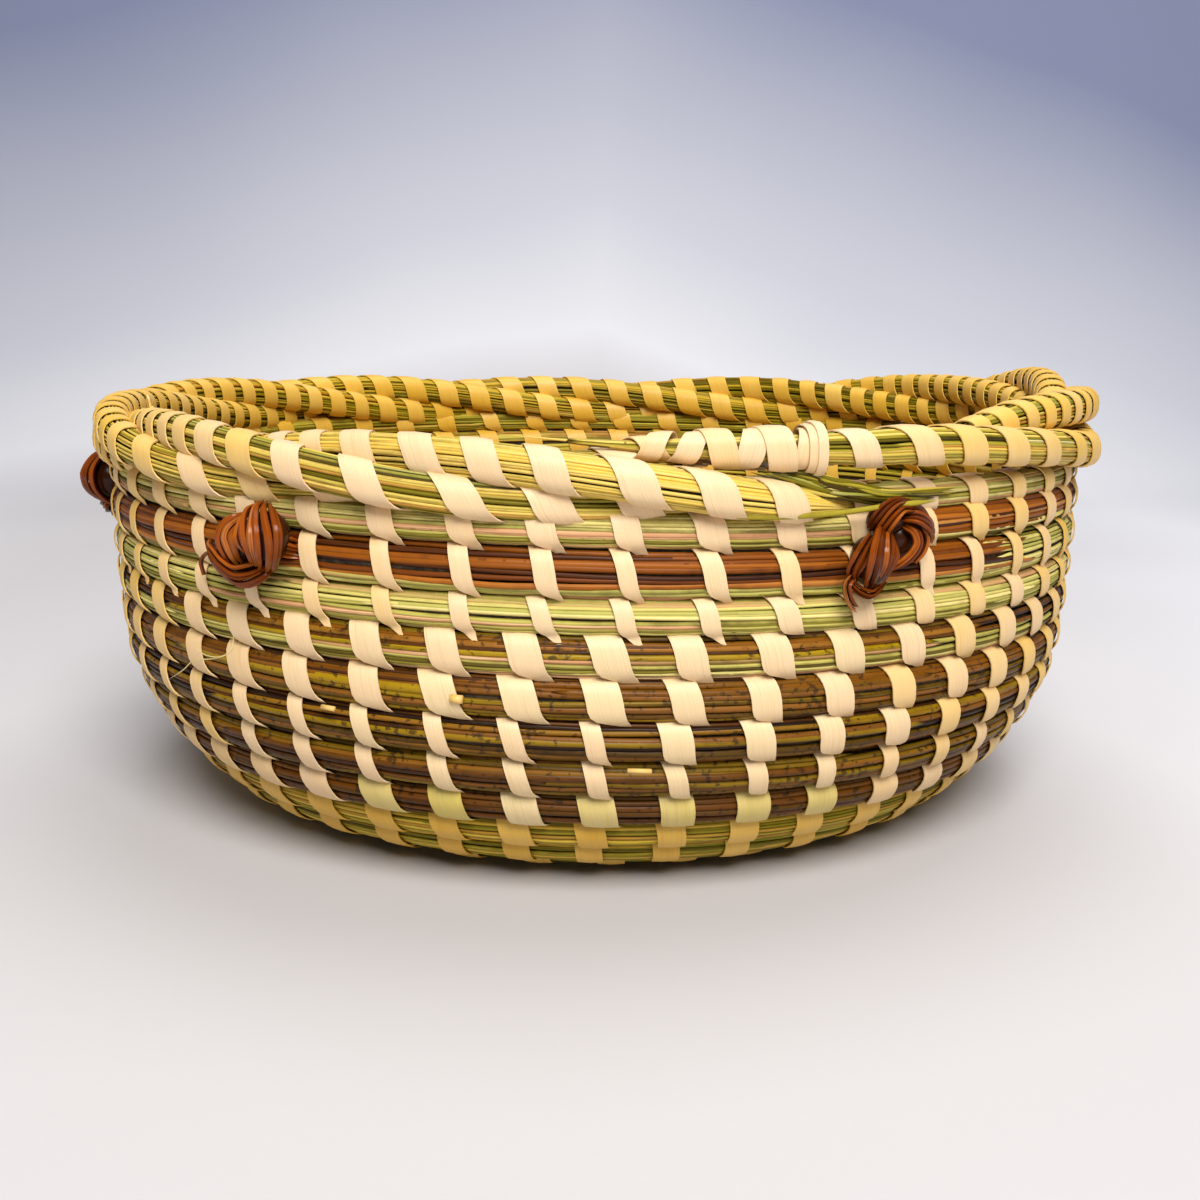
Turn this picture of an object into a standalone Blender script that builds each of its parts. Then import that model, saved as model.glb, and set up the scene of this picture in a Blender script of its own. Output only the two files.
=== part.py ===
"""Coiled sweetgrass basket, in metres, +Z up, standing on z = 0 with its middle at the origin.

One long bundle of grass is wound into a flat spiral from a start knot and climbs into the wall, row on
row. The kinds of stem change along the bundle, so each kind is its own length of coil. Above the last row
three strands twist round each other as a rim, and one strand's end is bound with a palm strip. Knots of
pine needles sit on the dark row. Seen from above, everything is wound clockwise, and the front is at -Y.
"""

import bisect
import math

import bmesh
import bpy
from mathutils import Vector

# The coil: its cord, its turns and the curve that the turns follow from the floor up the wall
COIL_DIAMETER = 0.0097
COIL_GAP = 0.0007
COIL_PITCH = COIL_DIAMETER + COIL_GAP
TOP_COIL_SQUEEZE = 0.0017
TOP_COIL_DIAMETER = COIL_DIAMETER - TOP_COIL_SQUEEZE
FLAT_RADIUS = 0.0876
WALL_RADIUS = 0.1404
BEND_HEIGHT = 0.065
FLOOR_CUT = COIL_DIAMETER / 10
SPLICE_GAP = 0.0005
POINTS_PER_LOOP = 24
BEND_STEPS = 400
WELD_DISTANCE = 0.000001

# Palm strips: the one round the pine-needle row, and the one that binds the rim's end
STRIP_THICKNESS = 0.0004
STRIP_CLEARANCE = 0.00035
STRIP_WIDTH = 0.006
STRIP_SLANT = 0.005
STRIP_INSIDE_SHARES = (0.16, 0.38, 0.70)
STRIP_TRIM = -3
BINDING_WIDTH = 0.0046
BINDING_GAP = 0.0004
BINDING_LOOPS = 5
SIDES = 6
PINE_COIL_DIAMETER = COIL_DIAMETER - 2 * (STRIP_THICKNESS + STRIP_CLEARANCE)

# The rim: three strands round one axis, one of them with a thinner end
STRAND_DIAMETER = 0.0074
STRAND_GAP = 0.0006
STRAND_END_DIAMETER = 0.0056
REST_GAP = 0.0003
TWIST_RADIUS = (STRAND_DIAMETER + STRAND_GAP) / math.sqrt(3)
RIM_REST = TOP_COIL_DIAMETER / 2 + REST_GAP + STRAND_DIAMETER / 2
LAY_TURNS = 0.2583

# Knots: a trefoil whose size follows its cord, and a start knot that fills the first turn
KNOT_CORD_DIAMETER = 0.0040
KNOT_REACH_SHARE = 1.95
KNOT_DEPTH_SHARE = 1.1
KNOT_LOBE_SHARE = 2.2
KNOT_POINTS = 36
KNOT_REACH = KNOT_CORD_DIAMETER * KNOT_REACH_SHARE
KNOT_HALF_DEPTH = KNOT_CORD_DIAMETER * KNOT_DEPTH_SHARE
START_KNOT_RADIUS_SHARE = 0.75
START_KNOT_SHIFT_SHARE = 0.3
START_KNOT_TURN_SHARE = 0.6

# Places along the coil, counted in turns from the middle. A whole number is at the front
COIL_START = 1.0
FLOOR_END = 8.5
LOWER_GRASS_END = 12.5
BULRUSH_SPLICE = 14.5
BULRUSH_END = 16 + 15 / POINTS_PER_LOOP
MIXED_END = 17 + 15 / POINTS_PER_LOOP
PALE_GRASS_END = 18 + 21 / POINTS_PER_LOOP
PINE_END = 19 + 22 / POINTS_PER_LOOP
COIL_END = 20 + 22 / POINTS_PER_LOOP

RIM_START = 19.942
FIRST_CREST = 20.047
STRAND_A_END = 20.883
STRAND_B_HOLD = 20.800
STRAND_B_TAPER = 20.920
STRAND_B_THIN = 20.932
STRAND_B_LEAVES_COIL = 20.930
STRAND_B_LANDS = 20.956
BINDING_START = 20.943
BINDING_END = BINDING_START + BINDING_LOOPS * (BINDING_WIDTH + BINDING_GAP) / (2 * math.pi * WALL_RADIUS)
BINDING_PROBE = 0.0005
STRAND_B_STUB = 0.0035
STRAND_B_END = BINDING_END + STRAND_B_STUB
STRAND_C_START = STRAND_B_END - 1 + STRAND_B_STUB
STRAND_C_END = 20.806
STRAND_STEP = 1 / 48

PINE_ROW = 19
KNOT_ANGLES = {"left": -90, "front_left": -33.5, "front_right": 27.5}


def new_material(name, colour, roughness):
    made = bpy.data.materials.new(name)
    made.use_nodes = True
    shader = made.node_tree.nodes["Principled BSDF"]
    shader.inputs["Base Color"].default_value = (*colour, 1)
    shader.inputs["Roughness"].default_value = roughness
    shader.inputs["Metallic"].default_value = 0
    made.diffuse_color = (*colour, 1)
    return made


def bend_table():
    """Steps up the bend, a quarter of an ellipse: distance along it from the floor, radius and height."""
    rows = [(0.0, FLAT_RADIUS, 0.0)]
    for step in range(1, BEND_STEPS + 1):
        angle = math.pi / 2 * step / BEND_STEPS
        radius = FLAT_RADIUS + (WALL_RADIUS - FLAT_RADIUS) * math.sin(angle)
        rise = BEND_HEIGHT * (1 - math.cos(angle))
        length = rows[-1][0] + math.hypot(radius - rows[-1][1], rise - rows[-1][2])
        rows.append((length, radius, rise))
    return rows


BEND = bend_table()
COIL_FLOOR_HEIGHT = COIL_DIAMETER / 2 - FLOOR_CUT


def profile(distance):
    """Radius and height of the cord's centre at a distance along the basket's section from its middle."""
    along = distance - FLAT_RADIUS
    if along <= 0:
        return distance, COIL_FLOOR_HEIGHT
    if along >= BEND[-1][0]:
        return WALL_RADIUS, COIL_FLOOR_HEIGHT + BEND_HEIGHT + along - BEND[-1][0]
    place = bisect.bisect_right(BEND, (along,))
    low, high = BEND[place - 1], BEND[place]
    part = (along - low[0]) / (high[0] - low[0])
    radius = low[1] + part * (high[1] - low[1])
    return radius, COIL_FLOOR_HEIGHT + low[2] + part * (high[2] - low[2])


def outward(turn):
    angle = -2 * math.pi * turn
    return Vector((math.sin(angle), -math.cos(angle), 0))


def coil_point(turn):
    """A point of the smooth spiral, a number of turns from the middle."""
    radius, height = profile(COIL_PITCH * turn)
    return radius * outward(turn) + Vector((0, 0, height))


def cord_frame(turn):
    """Centre, direction and outward normal of the cord, whose run between two points is straight."""
    count = turn * POINTS_PER_LOOP
    low = math.floor(count)
    start, end = coil_point(low / POINTS_PER_LOOP), coil_point((low + 1) / POINTS_PER_LOOP)
    return start.lerp(end, count - low), (end - start).normalized(), outward((low + 1 / 2) / POINTS_PER_LOOP)


def slope(turn):
    """How steeply the basket's section climbs at a turn: 0 on the floor, a right angle on the wall."""
    inner, outer = (profile(COIL_PITCH * (turn + half)) for half in (-1 / 2, 1 / 2))
    return math.atan2(outer[1] - inner[1], outer[0] - inner[0])


def coil_points(first, last):
    """The cord's points from one splice to the next. A splice is halfway between two points."""
    first, last = round(first * POINTS_PER_LOOP), round(last * POINTS_PER_LOOP)
    points = [coil_point(count / POINTS_PER_LOOP) for count in range(first, last + 2)]
    start = points[0].lerp(points[1], 0.5)
    end = points[-2].lerp(points[-1], 0.5)
    start += (points[1] - start).normalized() * SPLICE_GAP / 2
    end += (points[-2] - end).normalized() * SPLICE_GAP / 2
    return [start, *points[1:-1], end]


def twist_offset(turn, crest):
    """Where a strand lies round the rim's axis. It is on top at its crest and then goes inward and down."""
    phase = math.pi / 2 + 2 * math.pi * (turn - crest) / LAY_TURNS
    return TWIST_RADIUS * math.cos(phase), TWIST_RADIUS * math.sin(phase)


def rim_point(turn, offset):
    out, up = offset
    return coil_point(turn) + out * outward(turn) + Vector((0, 0, RIM_REST + TWIST_RADIUS + up))


def smooth_step(value, low, high):
    part = min(max((value - low) / (high - low), 0), 1)
    return part * part * (3 - 2 * part)


CREST_A = FIRST_CREST
CREST_B = FIRST_CREST + LAY_TURNS / 3
CREST_C = FIRST_CREST + 2 * LAY_TURNS / 3


def strand_a(turn):
    return rim_point(turn, twist_offset(turn, CREST_A))


def strand_b(turn):
    """Strand b stays low and outside near its end, where the others have stopped, then closes the ring."""
    held = rim_point(turn, twist_offset(min(turn, STRAND_B_HOLD), CREST_B))
    closing = rim_point(turn - 1, twist_offset(turn - 1, CREST_C))
    return held.lerp(closing, smooth_step(turn, STRAND_B_LEAVES_COIL, STRAND_B_LANDS))


def strand_c(turn):
    return rim_point(turn, twist_offset(turn, CREST_C))


def spaced(first, last, step):
    count = math.ceil((last - first) / step)
    return [first + (last - first) * part / count for part in range(count + 1)]


def print_gap(name, points, diameter, apart, closed=False):
    """Prints the least gap between stretches of one cord that are so many points apart or more."""
    least = math.inf
    count = len(points)
    for i, point in enumerate(points):
        last = min(count, i + count - apart) if closed else count - 1
        for j in range(i + apart, last):
            edge = points[(j + 1) % count] - points[j]
            part = min(max((point - points[j]).dot(edge) / edge.length_squared, 0), 1)
            least = min(least, (points[j] + part * edge - point).length)
    print(f"{name}: least gap to itself {1000 * (least - diameter):.2f} mm")


for old_object in list(bpy.data.objects):
    bpy.data.objects.remove(old_object)
basket = bpy.data.collections.new("coiled_basket")
cutters = bpy.data.collections.new("cutters")
axis_empty = bpy.data.objects.new("basket_axis", None)
bpy.context.scene.collection.children.link(basket)
bpy.context.scene.collection.children.link(cutters)
basket.objects.link(axis_empty)


def place(obj, material):
    basket.objects.link(obj)
    obj.parent = axis_empty
    obj.data.materials.append(material)
    return obj


def tube(name, points, diameter, material, closed=False, shares=None, tilts=None):
    """A six-sided cord through the points. Shares make it thinner at single points, and tilts turn it."""
    curve = bpy.data.curves.new(name, "CURVE")
    curve.dimensions = "3D"
    curve.twist_mode = "MINIMUM" if closed else "Z_UP"
    curve.bevel_depth = diameter / 2
    curve.bevel_resolution = 1
    curve.use_fill_caps = True
    spline = curve.splines.new("POLY")
    spline.points.add(len(points) - 1)
    spline.use_cyclic_u = closed
    for target, point in zip(spline.points, points):
        target.co = (*point, 1)
    for target, share in zip(spline.points, shares or ()):
        target.radius = share
    for target, tilt in zip(spline.points, tilts or ()):
        target.tilt = tilt
    return place(bpy.data.objects.new(name, curve), material)


def made_mesh(source):
    """The curve object as a mesh object of the same name, its caps welded."""
    graph = bpy.context.evaluated_depsgraph_get()
    mesh = bpy.data.meshes.new_from_object(source.evaluated_get(graph))
    welded = bmesh.new()
    welded.from_mesh(mesh)
    bmesh.ops.remove_doubles(welded, verts=welded.verts, dist=WELD_DISTANCE)
    welded.to_mesh(mesh)
    welded.free()
    name, matrix = source.name, source.matrix_world.copy()
    bpy.data.objects.remove(source)
    obj = bpy.data.objects.new(name, mesh)
    basket.objects.link(obj)
    obj.parent = axis_empty
    obj.matrix_world = matrix
    return obj


def floor_cutter():
    """A block whose top is the floor, wider and deeper than all that it cuts."""
    bpy.ops.mesh.primitive_cube_add(size=1)
    block = bpy.context.object
    block.name = "floor_cutter"
    block.scale = (2 * WALL_RADIUS, 2 * WALL_RADIUS, COIL_DIAMETER)
    block.location = (0, 0, -COIL_DIAMETER / 2)
    block.hide_render = True
    block.display_type = "WIRE"
    for holder in list(block.users_collection):
        holder.objects.unlink(block)
    cutters.objects.link(block)
    return block


def cut_flat(obj, block):
    cut = obj.modifiers.new("cut_flat", "BOOLEAN")
    cut.operation = "DIFFERENCE"
    cut.object = block


def coil(name, first, last, diameter, material, flat=False):
    """A length of coil. Its edges face the next rows, or its flat sides do where a strip has to pass."""
    points = coil_points(first, last)
    print_gap(name, points, diameter, POINTS_PER_LOOP // 2)
    tilts = [0 if flat else -slope(first + count / POINTS_PER_LOOP) for count in range(len(points))]
    return tube(name, points, diameter, material, tilts=tilts)


def start_knot(material):
    """The knot that the coil starts from. It fills the space inside the first turn, as thick as the coil."""
    bpy.ops.mesh.primitive_uv_sphere_add(segments=20, ring_count=10, radius=1)
    knot = bpy.context.object
    for holder in list(knot.users_collection):
        holder.objects.unlink(knot)
    knot.name = "start_knot"
    radius = COIL_PITCH * START_KNOT_RADIUS_SHARE
    for vert in knot.data.vertices:
        vert.co.x *= radius
        vert.co.y *= radius
        vert.co.z *= COIL_DIAMETER / 2
    knot.location = COIL_PITCH * START_KNOT_SHIFT_SHARE * outward(COIL_START + START_KNOT_TURN_SHARE)
    knot.location.z = COIL_FLOOR_HEIGHT
    knot.data.shade_smooth()
    return place(knot, material)


def rim_strand(name, turns, path, material, shares=None):
    points = [path(turn) for turn in turns]
    print_gap(name, points, STRAND_DIAMETER, POINTS_PER_LOOP // 2)
    return tube(name, points, STRAND_DIAMETER, material, shares=shares)


def rim(material):
    """Three strands. Strand b's end is thinner, where the palm strip binds it."""
    rim_strand("rim_strand_a", spaced(RIM_START, STRAND_A_END, STRAND_STEP), strand_a, material)
    turns = spaced(RIM_START, STRAND_B_TAPER, STRAND_STEP)
    full = len(turns)
    turns += spaced(STRAND_B_THIN, STRAND_B_END, STRAND_STEP / 4)
    thin_share = STRAND_END_DIAMETER / STRAND_DIAMETER
    shares = [1 if count < full else thin_share for count in range(len(turns))]
    rim_strand("rim_strand_b", turns, strand_b, material, shares)
    rim_strand("rim_strand_c", spaced(STRAND_C_START, STRAND_C_END, STRAND_STEP), strand_c, material)


def ribbon(name, stations, width, material):
    """A thin strip through stations, each a centre, the width's direction and the way that the face looks."""
    sheet = bmesh.new()
    last = len(stations) - 1
    bmesh.ops.create_grid(sheet, x_segments=last, y_segments=1, size=1)
    for vert in sheet.verts:
        centre, across, _ = stations[round((vert.co.x + 1) / 2 * last)]
        vert.co = centre + across * (width / 2 * math.copysign(1, vert.co.y))
    sheet.faces.ensure_lookup_table()
    first_face = min(sheet.faces, key=lambda face: (face.calc_center_median() - stations[0][0]).length)
    first_face.normal_update()
    if first_face.normal.dot(stations[0][2]) < 0:
        bmesh.ops.reverse_faces(sheet, faces=sheet.faces)
    mesh = bpy.data.meshes.new(name)
    sheet.to_mesh(mesh)
    sheet.free()
    obj = place(bpy.data.objects.new(name, mesh), material)
    wall = obj.modifiers.new("thickness", "SOLIDIFY")
    wall.thickness = STRIP_THICKNESS
    wall.offset = 1
    return obj


def station(centre, direction, normal, radius, side):
    """A strip's place on one corner of a six-sided cord, counted from the outermost corner downwards."""
    up = normal.cross(direction)
    up *= math.copysign(1, up.z) / up.length
    angle = -2 * math.pi * side / SIDES
    face = math.cos(angle) * normal + math.sin(angle) * up
    return centre + radius * face, direction, face


def pine_row_strip(material):
    """A strip that goes down the outside of the dark row in each straight run and up inside to the next."""
    radius = PINE_COIL_DIAMETER / 2 + STRIP_CLEARANCE
    run = (coil_point(PINE_ROW) - coil_point(PINE_ROW + 1 / POINTS_PER_LOOP)).length
    slant = STRIP_SLANT / run
    shifts = [slant / 2, 0, -slant / 2]
    shifts += [-slant / 2 + (1 + slant) * share for share in STRIP_INSIDE_SHARES]
    stations = []
    for count in range(round(PALE_GRASS_END * POINTS_PER_LOOP) + 1, round(PINE_END * POINTS_PER_LOOP)):
        for side, shift in enumerate(shifts, start=-1):
            centre, direction, normal = cord_frame((count + 1 / 2 + shift) / POINTS_PER_LOOP)
            stations.append(station(centre, direction, normal, radius, side))
    return ribbon("pine_row_palm_strip", stations[:STRIP_TRIM], STRIP_WIDTH, material)


def rim_end_binding(material):
    """A strip wound over the thin end of strand b."""
    radius = STRAND_END_DIAMETER / 2 + STRIP_CLEARANCE
    turns = spaced(BINDING_START, BINDING_END, (BINDING_END - BINDING_START) / (BINDING_LOOPS * SIDES))
    stations = []
    for side, turn in enumerate(turns):
        direction = (strand_b(turn + BINDING_PROBE) - strand_b(turn - BINDING_PROBE)).normalized()
        stations.append(station(strand_b(turn), direction, outward(turn), radius, side))
    return ribbon("rim_end_binding", stations, BINDING_WIDTH, material)


def knot_points():
    """A trefoil round its own middle, with its depth along Y."""
    unit = KNOT_REACH / (1 + KNOT_LOBE_SHARE)
    points = []
    for count in range(KNOT_POINTS):
        angle = 2 * math.pi * count / KNOT_POINTS
        across = -math.sin(angle) - KNOT_LOBE_SHARE * math.sin(2 * angle)
        up = math.cos(angle) - KNOT_LOBE_SHARE * math.cos(2 * angle)
        points.append(Vector((unit * across, -KNOT_HALF_DEPTH * math.sin(3 * angle), unit * up)))
    return points


def pine_knot(name, degrees, material):
    """A knot on the outside of the dark row. It rests where its hindmost stretch is level with the cord."""
    points = knot_points()
    print_gap(name, points, KNOT_CORD_DIAMETER, KNOT_POINTS // 6, closed=True)
    knot = tube(name, points, KNOT_CORD_DIAMETER, material, closed=True)
    hindmost = [point for point in points if point.y > KNOT_HALF_DEPTH - REST_GAP]
    touch = min(hindmost, key=lambda point: abs(point.z))
    turn = PINE_ROW - degrees / 360
    seat = cord_frame(turn - touch.x / (2 * math.pi * WALL_RADIUS))[0]
    reach = PINE_COIL_DIAMETER / 2 + REST_GAP + KNOT_HALF_DEPTH + KNOT_CORD_DIAMETER / 2
    knot.location = (seat.dot(outward(turn)) + reach) * outward(turn)
    knot.location.z = seat.z
    knot.rotation_euler.z = math.radians(degrees)
    return knot


def build():
    grass = new_material("sweetgrass", (0.46, 0.43, 0.13), 0.5)
    pale_grass = new_material("pale_sweetgrass", (0.56, 0.56, 0.29), 0.5)
    bulrush = new_material("bulrush", (0.25, 0.13, 0.035), 0.45)
    mixed = new_material("mixed_stems", (0.42, 0.33, 0.12), 0.5)
    pine = new_material("pine_needles", (0.25, 0.07, 0.02), 0.35)
    palm = new_material("palm_strip", (0.85, 0.72, 0.48), 0.5)

    block = floor_cutter()
    for name, first, last in (
        ("base_coil", COIL_START, FLOOR_END),
        ("lower_sweetgrass_coil", FLOOR_END, LOWER_GRASS_END),
    ):
        cut_flat(made_mesh(coil(name, first, last, COIL_DIAMETER, grass)), block)
    cut_flat(start_knot(grass), block)
    coil("lower_bulrush_coil", LOWER_GRASS_END, BULRUSH_SPLICE, COIL_DIAMETER, bulrush)
    coil("upper_bulrush_coil", BULRUSH_SPLICE, BULRUSH_END, COIL_DIAMETER, bulrush)
    coil("mixed_stem_coil", BULRUSH_END, MIXED_END, COIL_DIAMETER, mixed)
    coil("pale_sweetgrass_coil", MIXED_END, PALE_GRASS_END, COIL_DIAMETER, pale_grass)
    coil("pine_needle_coil", PALE_GRASS_END, PINE_END, PINE_COIL_DIAMETER, pine, flat=True)
    coil("top_sweetgrass_coil", PINE_END, COIL_END, TOP_COIL_DIAMETER, pale_grass)
    pine_row_strip(palm)
    rim(grass)
    rim_end_binding(palm)
    for side, degrees in KNOT_ANGLES.items():
        pine_knot(f"pine_needle_knot_{side}", degrees, pine)


build()
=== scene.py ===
# %% [markdown]
# # A coiled sweetgrass basket
#
# A coiled basket is one long bundle of dry stems, wound round on itself and sewn to the row below with
# strips of palm leaf. This lesson dresses the plain solids of such a basket: every stem, every stitch and
# the twisted rim become pieces of their own, each laid over the solid that it stands for.

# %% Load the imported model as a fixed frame
import math

import bpy
import numpy as np
from mathutils import Matrix, Vector


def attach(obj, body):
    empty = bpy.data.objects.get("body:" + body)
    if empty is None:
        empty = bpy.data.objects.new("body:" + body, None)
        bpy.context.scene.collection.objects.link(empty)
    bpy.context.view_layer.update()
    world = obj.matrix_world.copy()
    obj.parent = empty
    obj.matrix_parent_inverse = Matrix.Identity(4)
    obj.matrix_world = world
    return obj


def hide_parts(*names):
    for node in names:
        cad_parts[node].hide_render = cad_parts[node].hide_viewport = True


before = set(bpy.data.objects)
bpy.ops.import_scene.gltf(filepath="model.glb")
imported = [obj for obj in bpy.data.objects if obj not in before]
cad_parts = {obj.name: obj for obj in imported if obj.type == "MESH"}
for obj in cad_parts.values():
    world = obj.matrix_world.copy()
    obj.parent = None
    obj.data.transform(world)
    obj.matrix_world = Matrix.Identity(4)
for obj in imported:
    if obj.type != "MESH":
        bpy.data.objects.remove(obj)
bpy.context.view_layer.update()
print("nodes in the frame:", sorted(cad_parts))

# %% [markdown]
# All lengths are in metres, so a millimetre gets a name of its own. One seeded generator makes every random
# choice, so that each run gives the same basket.

# %% Units and chance
MM = 0.001
TURN = 2 * math.pi
chance = np.random.default_rng(7)


def deselect():
    if bpy.context.mode != "OBJECT":
        bpy.ops.object.mode_set(mode="OBJECT")
    bpy.ops.object.select_all(action="DESELECT")


def pick(obj):
    """Makes obj the one object that the next operators work on."""
    deselect()
    obj.select_set(True)
    bpy.context.view_layer.objects.active = obj


# %% [markdown]
# ## Camera
#
# The photograph looks at the basket from the front, a little from above. The camera stands at the same place
# with the same lens, so that a render and the photograph can be laid over each other.

# %% Camera
CAMERA_PLACE = (2.15 * MM, -480.2 * MM, 144.1 * MM)
CAMERA_DOWN = 10.84
CAMERA_ROLL = 0.69
LENS = 45.65

bpy.ops.object.camera_add(location=CAMERA_PLACE)
camera = bpy.context.object
camera.matrix_world = (
    Matrix.Translation(CAMERA_PLACE)
    @ Matrix.Rotation(math.radians(90 - CAMERA_DOWN), 4, "X")
    @ Matrix.Rotation(math.radians(CAMERA_ROLL), 4, "Z")
)
camera.data.lens = LENS
camera.data.sensor_width = 36
camera.data.clip_start = 10 * MM
bpy.context.scene.camera = camera

# %% [markdown]
# ## Shader helpers
#
# A shader is a sum of small steps. The class below wraps a socket, so that `1 - mask` or `grain * 0.3` adds
# the Math nodes that the words say, and one method makes every other kind of node.


# %% A socket that can be reckoned with
class Value:
    """A number that a shader works out, with the operators that the finishes below use."""

    def __init__(self, tree, socket):
        self.tree = tree
        self.socket = socket

    def math(self, operation, *others, swap=False):
        node = self.tree.nodes.new("ShaderNodeMath")
        node.operation = operation
        inputs = [self, *others]
        if swap:
            inputs.reverse()
        for target, given in zip(node.inputs, inputs):
            plug(self.tree, target, given)
        return Value(self.tree, node.outputs[0])

    def __add__(self, other):
        return self.math("ADD", other)

    __radd__ = __add__

    def __mul__(self, other):
        return self.math("MULTIPLY", other)

    __rmul__ = __mul__

    def __sub__(self, other):
        return self.math("SUBTRACT", other)

    def __rsub__(self, other):
        return self.math("SUBTRACT", other, swap=True)

    def __gt__(self, other):
        return self.math("GREATER_THAN", other)


def plug(tree, target, given):
    """Links a Value or a socket to target, or sets target to a plain number, colour or vector."""
    if isinstance(given, Value):
        tree.links.new(given.socket, target)
    elif isinstance(given, bpy.types.NodeSocket):
        tree.links.new(given, target)
    elif isinstance(given, (tuple, list)) and len(given) == 3 and target.type == "RGBA":
        target.default_value = (*given, 1)
    else:
        target.default_value = given


class Finish:
    """A material in the making: its node tree, its shader and the method that adds a node."""

    def __init__(self, name):
        self.material = bpy.data.materials.new(name)
        self.material.use_nodes = True
        self.tree = self.material.node_tree
        self.shader = self.tree.nodes["Principled BSDF"]

    def node(self, kind, settings=None, stops=None, output=0, **inputs):
        made = self.tree.nodes.new(kind)
        for key, value in (settings or {}).items():
            setattr(made, key, value)
        if stops:
            ramp = made.color_ramp
            while len(ramp.elements) < len(stops):
                ramp.elements.new(0.5)
            for element, (place, colour) in zip(ramp.elements, stops):
                element.position = place
                element.color = (*colour, 1)
        for name, given in inputs.items():
            plug(self.tree, socket_of(made.inputs, name), given)
        found = made.outputs[output]
        return Value(self.tree, found) if found.type == "VALUE" else found

    def attribute(self, name):
        return self.node("ShaderNodeAttribute", {"attribute_name": name}, output=2)

    def vector(self, x, y, z):
        return self.node("ShaderNodeCombineXYZ", X=x, Y=y, Z=z)

    def noise(self, vector, scale, detail=2.0, roughness=0.5):
        return self.node("ShaderNodeTexNoise", Vector=vector, Scale=scale, Detail=detail, Roughness=roughness)

    def ramp(self, factor, stops, interpolation="LINEAR"):
        made = self.node("ShaderNodeValToRGB", stops=stops, Fac=factor)
        made.node.color_ramp.interpolation = interpolation
        return made

    def mix(self, factor, first, second, blend="MIX"):
        made = self.tree.nodes.new("ShaderNodeMix")
        made.data_type = "RGBA"
        made.blend_type = blend
        for place, given in ((0, factor), (6, first), (7, second)):
            plug(self.tree, made.inputs[place], given)
        return made.outputs[2]

    def painted_low_shade(self, objects):
        """Painted shade: rows near the floor are darker and more golden, turned away from the light."""
        height = self.node("ShaderNodeSeparateXYZ", output=2, Vector=objects)
        return self.ramp(height * 10.0, PAINTED_LOW_SHADES)

    def bump(self, height, distance, strength=1.0):
        return self.node("ShaderNodeBump", Height=height, Distance=distance, Strength=strength)

    def surface(self, **inputs):
        for name, given in inputs.items():
            plug(self.tree, socket_of(self.shader.inputs, name), given)
        return self.material


# Painted shade by height: stops that darken and warm the stems of the low rows.
PAINTED_LOW_SHADES = [
    (0.14, (1, 1, 0.58)),
    (0.24, (0.60, 0.55, 0.30)),
    (0.42, (0.64, 0.58, 0.36)),
    (0.62, (1, 1, 1)),
]


def socket_of(sockets, name):
    """A socket by its label, where an underscore stands for a space."""
    return sockets[name.replace("_", " ")]


# %% [markdown]
# ## Finishes of the stems
#
# No two stems have the same colour. Each vertex carries three values that were set when its stem was made:
# `tone`, one number a stem, picks the colour; `run`, the distance along the stem, lets the colour drift;
# `across`, the place round the stem, draws the fine lines that run along it. Bulrush has dark specks too.


# %% Stem finishes
def stem_finish(name, stops, gloss, speck=0.0, drift=0.16, edge=False):
    finish = Finish(name)
    tone = finish.attribute("tone")
    run = finish.attribute("run")
    across = finish.attribute("across")
    objects = finish.node("ShaderNodeTexCoord", output=3)
    slow = finish.noise(finish.vector(run * 9.0, tone * 91.0, 0.0), 1.0, 3.0)
    fine = finish.noise(finish.vector(run * 160.0, tone * 57.0, 3.0), 1.0, 3.0, 0.6)
    lines = finish.noise(finish.vector(across * 2.4, run * 16.0, tone * 83.0), 1.0, 3.0, 0.6)
    colour = finish.ramp(tone + (slow - 0.5) * drift + (lines - 0.5) * 0.3, stops, "EASE")
    worn = finish.ramp(
        slow * 0.4 + fine * 0.25 + lines * 0.35,
        [(0.34, (0.21, 0.16, 0.09)), (0.49, (0.86, 0.84, 0.78)), (0.66, (1, 1, 1))],
    )
    colour = finish.mix(0.95, colour, worn, "MULTIPLY")
    # Painted shade: with edge set, the needles' edges are darker, as in the creases between them.
    if edge:
        painted_crease_shade = finish.ramp(across.math("ABSOLUTE"), [(0.80, (1, 1, 1)), (1.0, (0.25, 0.18, 0.14))])
        colour = finish.mix(1.0, colour, painted_crease_shade, "MULTIPLY")
    if speck:
        spots = finish.noise(objects, 620.0, 2.0) + finish.noise(objects, 60.0, 1.0) * 0.3
        mask = finish.ramp(spots, [(0.74, (0, 0, 0)), (0.80, (1, 1, 1))])
        dark = finish.node("ShaderNodeRGBToBW", Color=mask) * speck
        colour = finish.mix(dark, colour, (0.03, 0.015, 0.006))
    # Painted warm bounce light: stems towards the back and inside are yellower and a little darker.
    back = finish.node("ShaderNodeSeparateXYZ", output=1, Vector=objects)
    painted_back_bounce = finish.ramp(back * 6.0 + 0.5, [(0.0, (1, 1, 1)), (0.95, (0.70, 0.66, 0.20))])
    colour = finish.mix(1.0, colour, painted_back_bounce, "MULTIPLY")
    # Painted shade: the stems of the low rows darker and more golden.
    colour = finish.mix(1.0, colour, finish.painted_low_shade(objects), "MULTIPLY")
    bump = finish.bump(lines * 0.6 + fine * 0.4, 0.16 * MM, 0.6)
    return finish.surface(
        Base_Color=colour, Roughness=gloss + (fine - 0.5) * 0.2, Normal=bump, Specular_IOR_Level=0.2
    )


def shown(red, green, blue):
    """A colour as it shows on a screen, out of 255, as a shader needs it."""
    return tuple(((part / 255 + 0.055) / 1.055) ** 2.4 for part in (red, green, blue))


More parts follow.
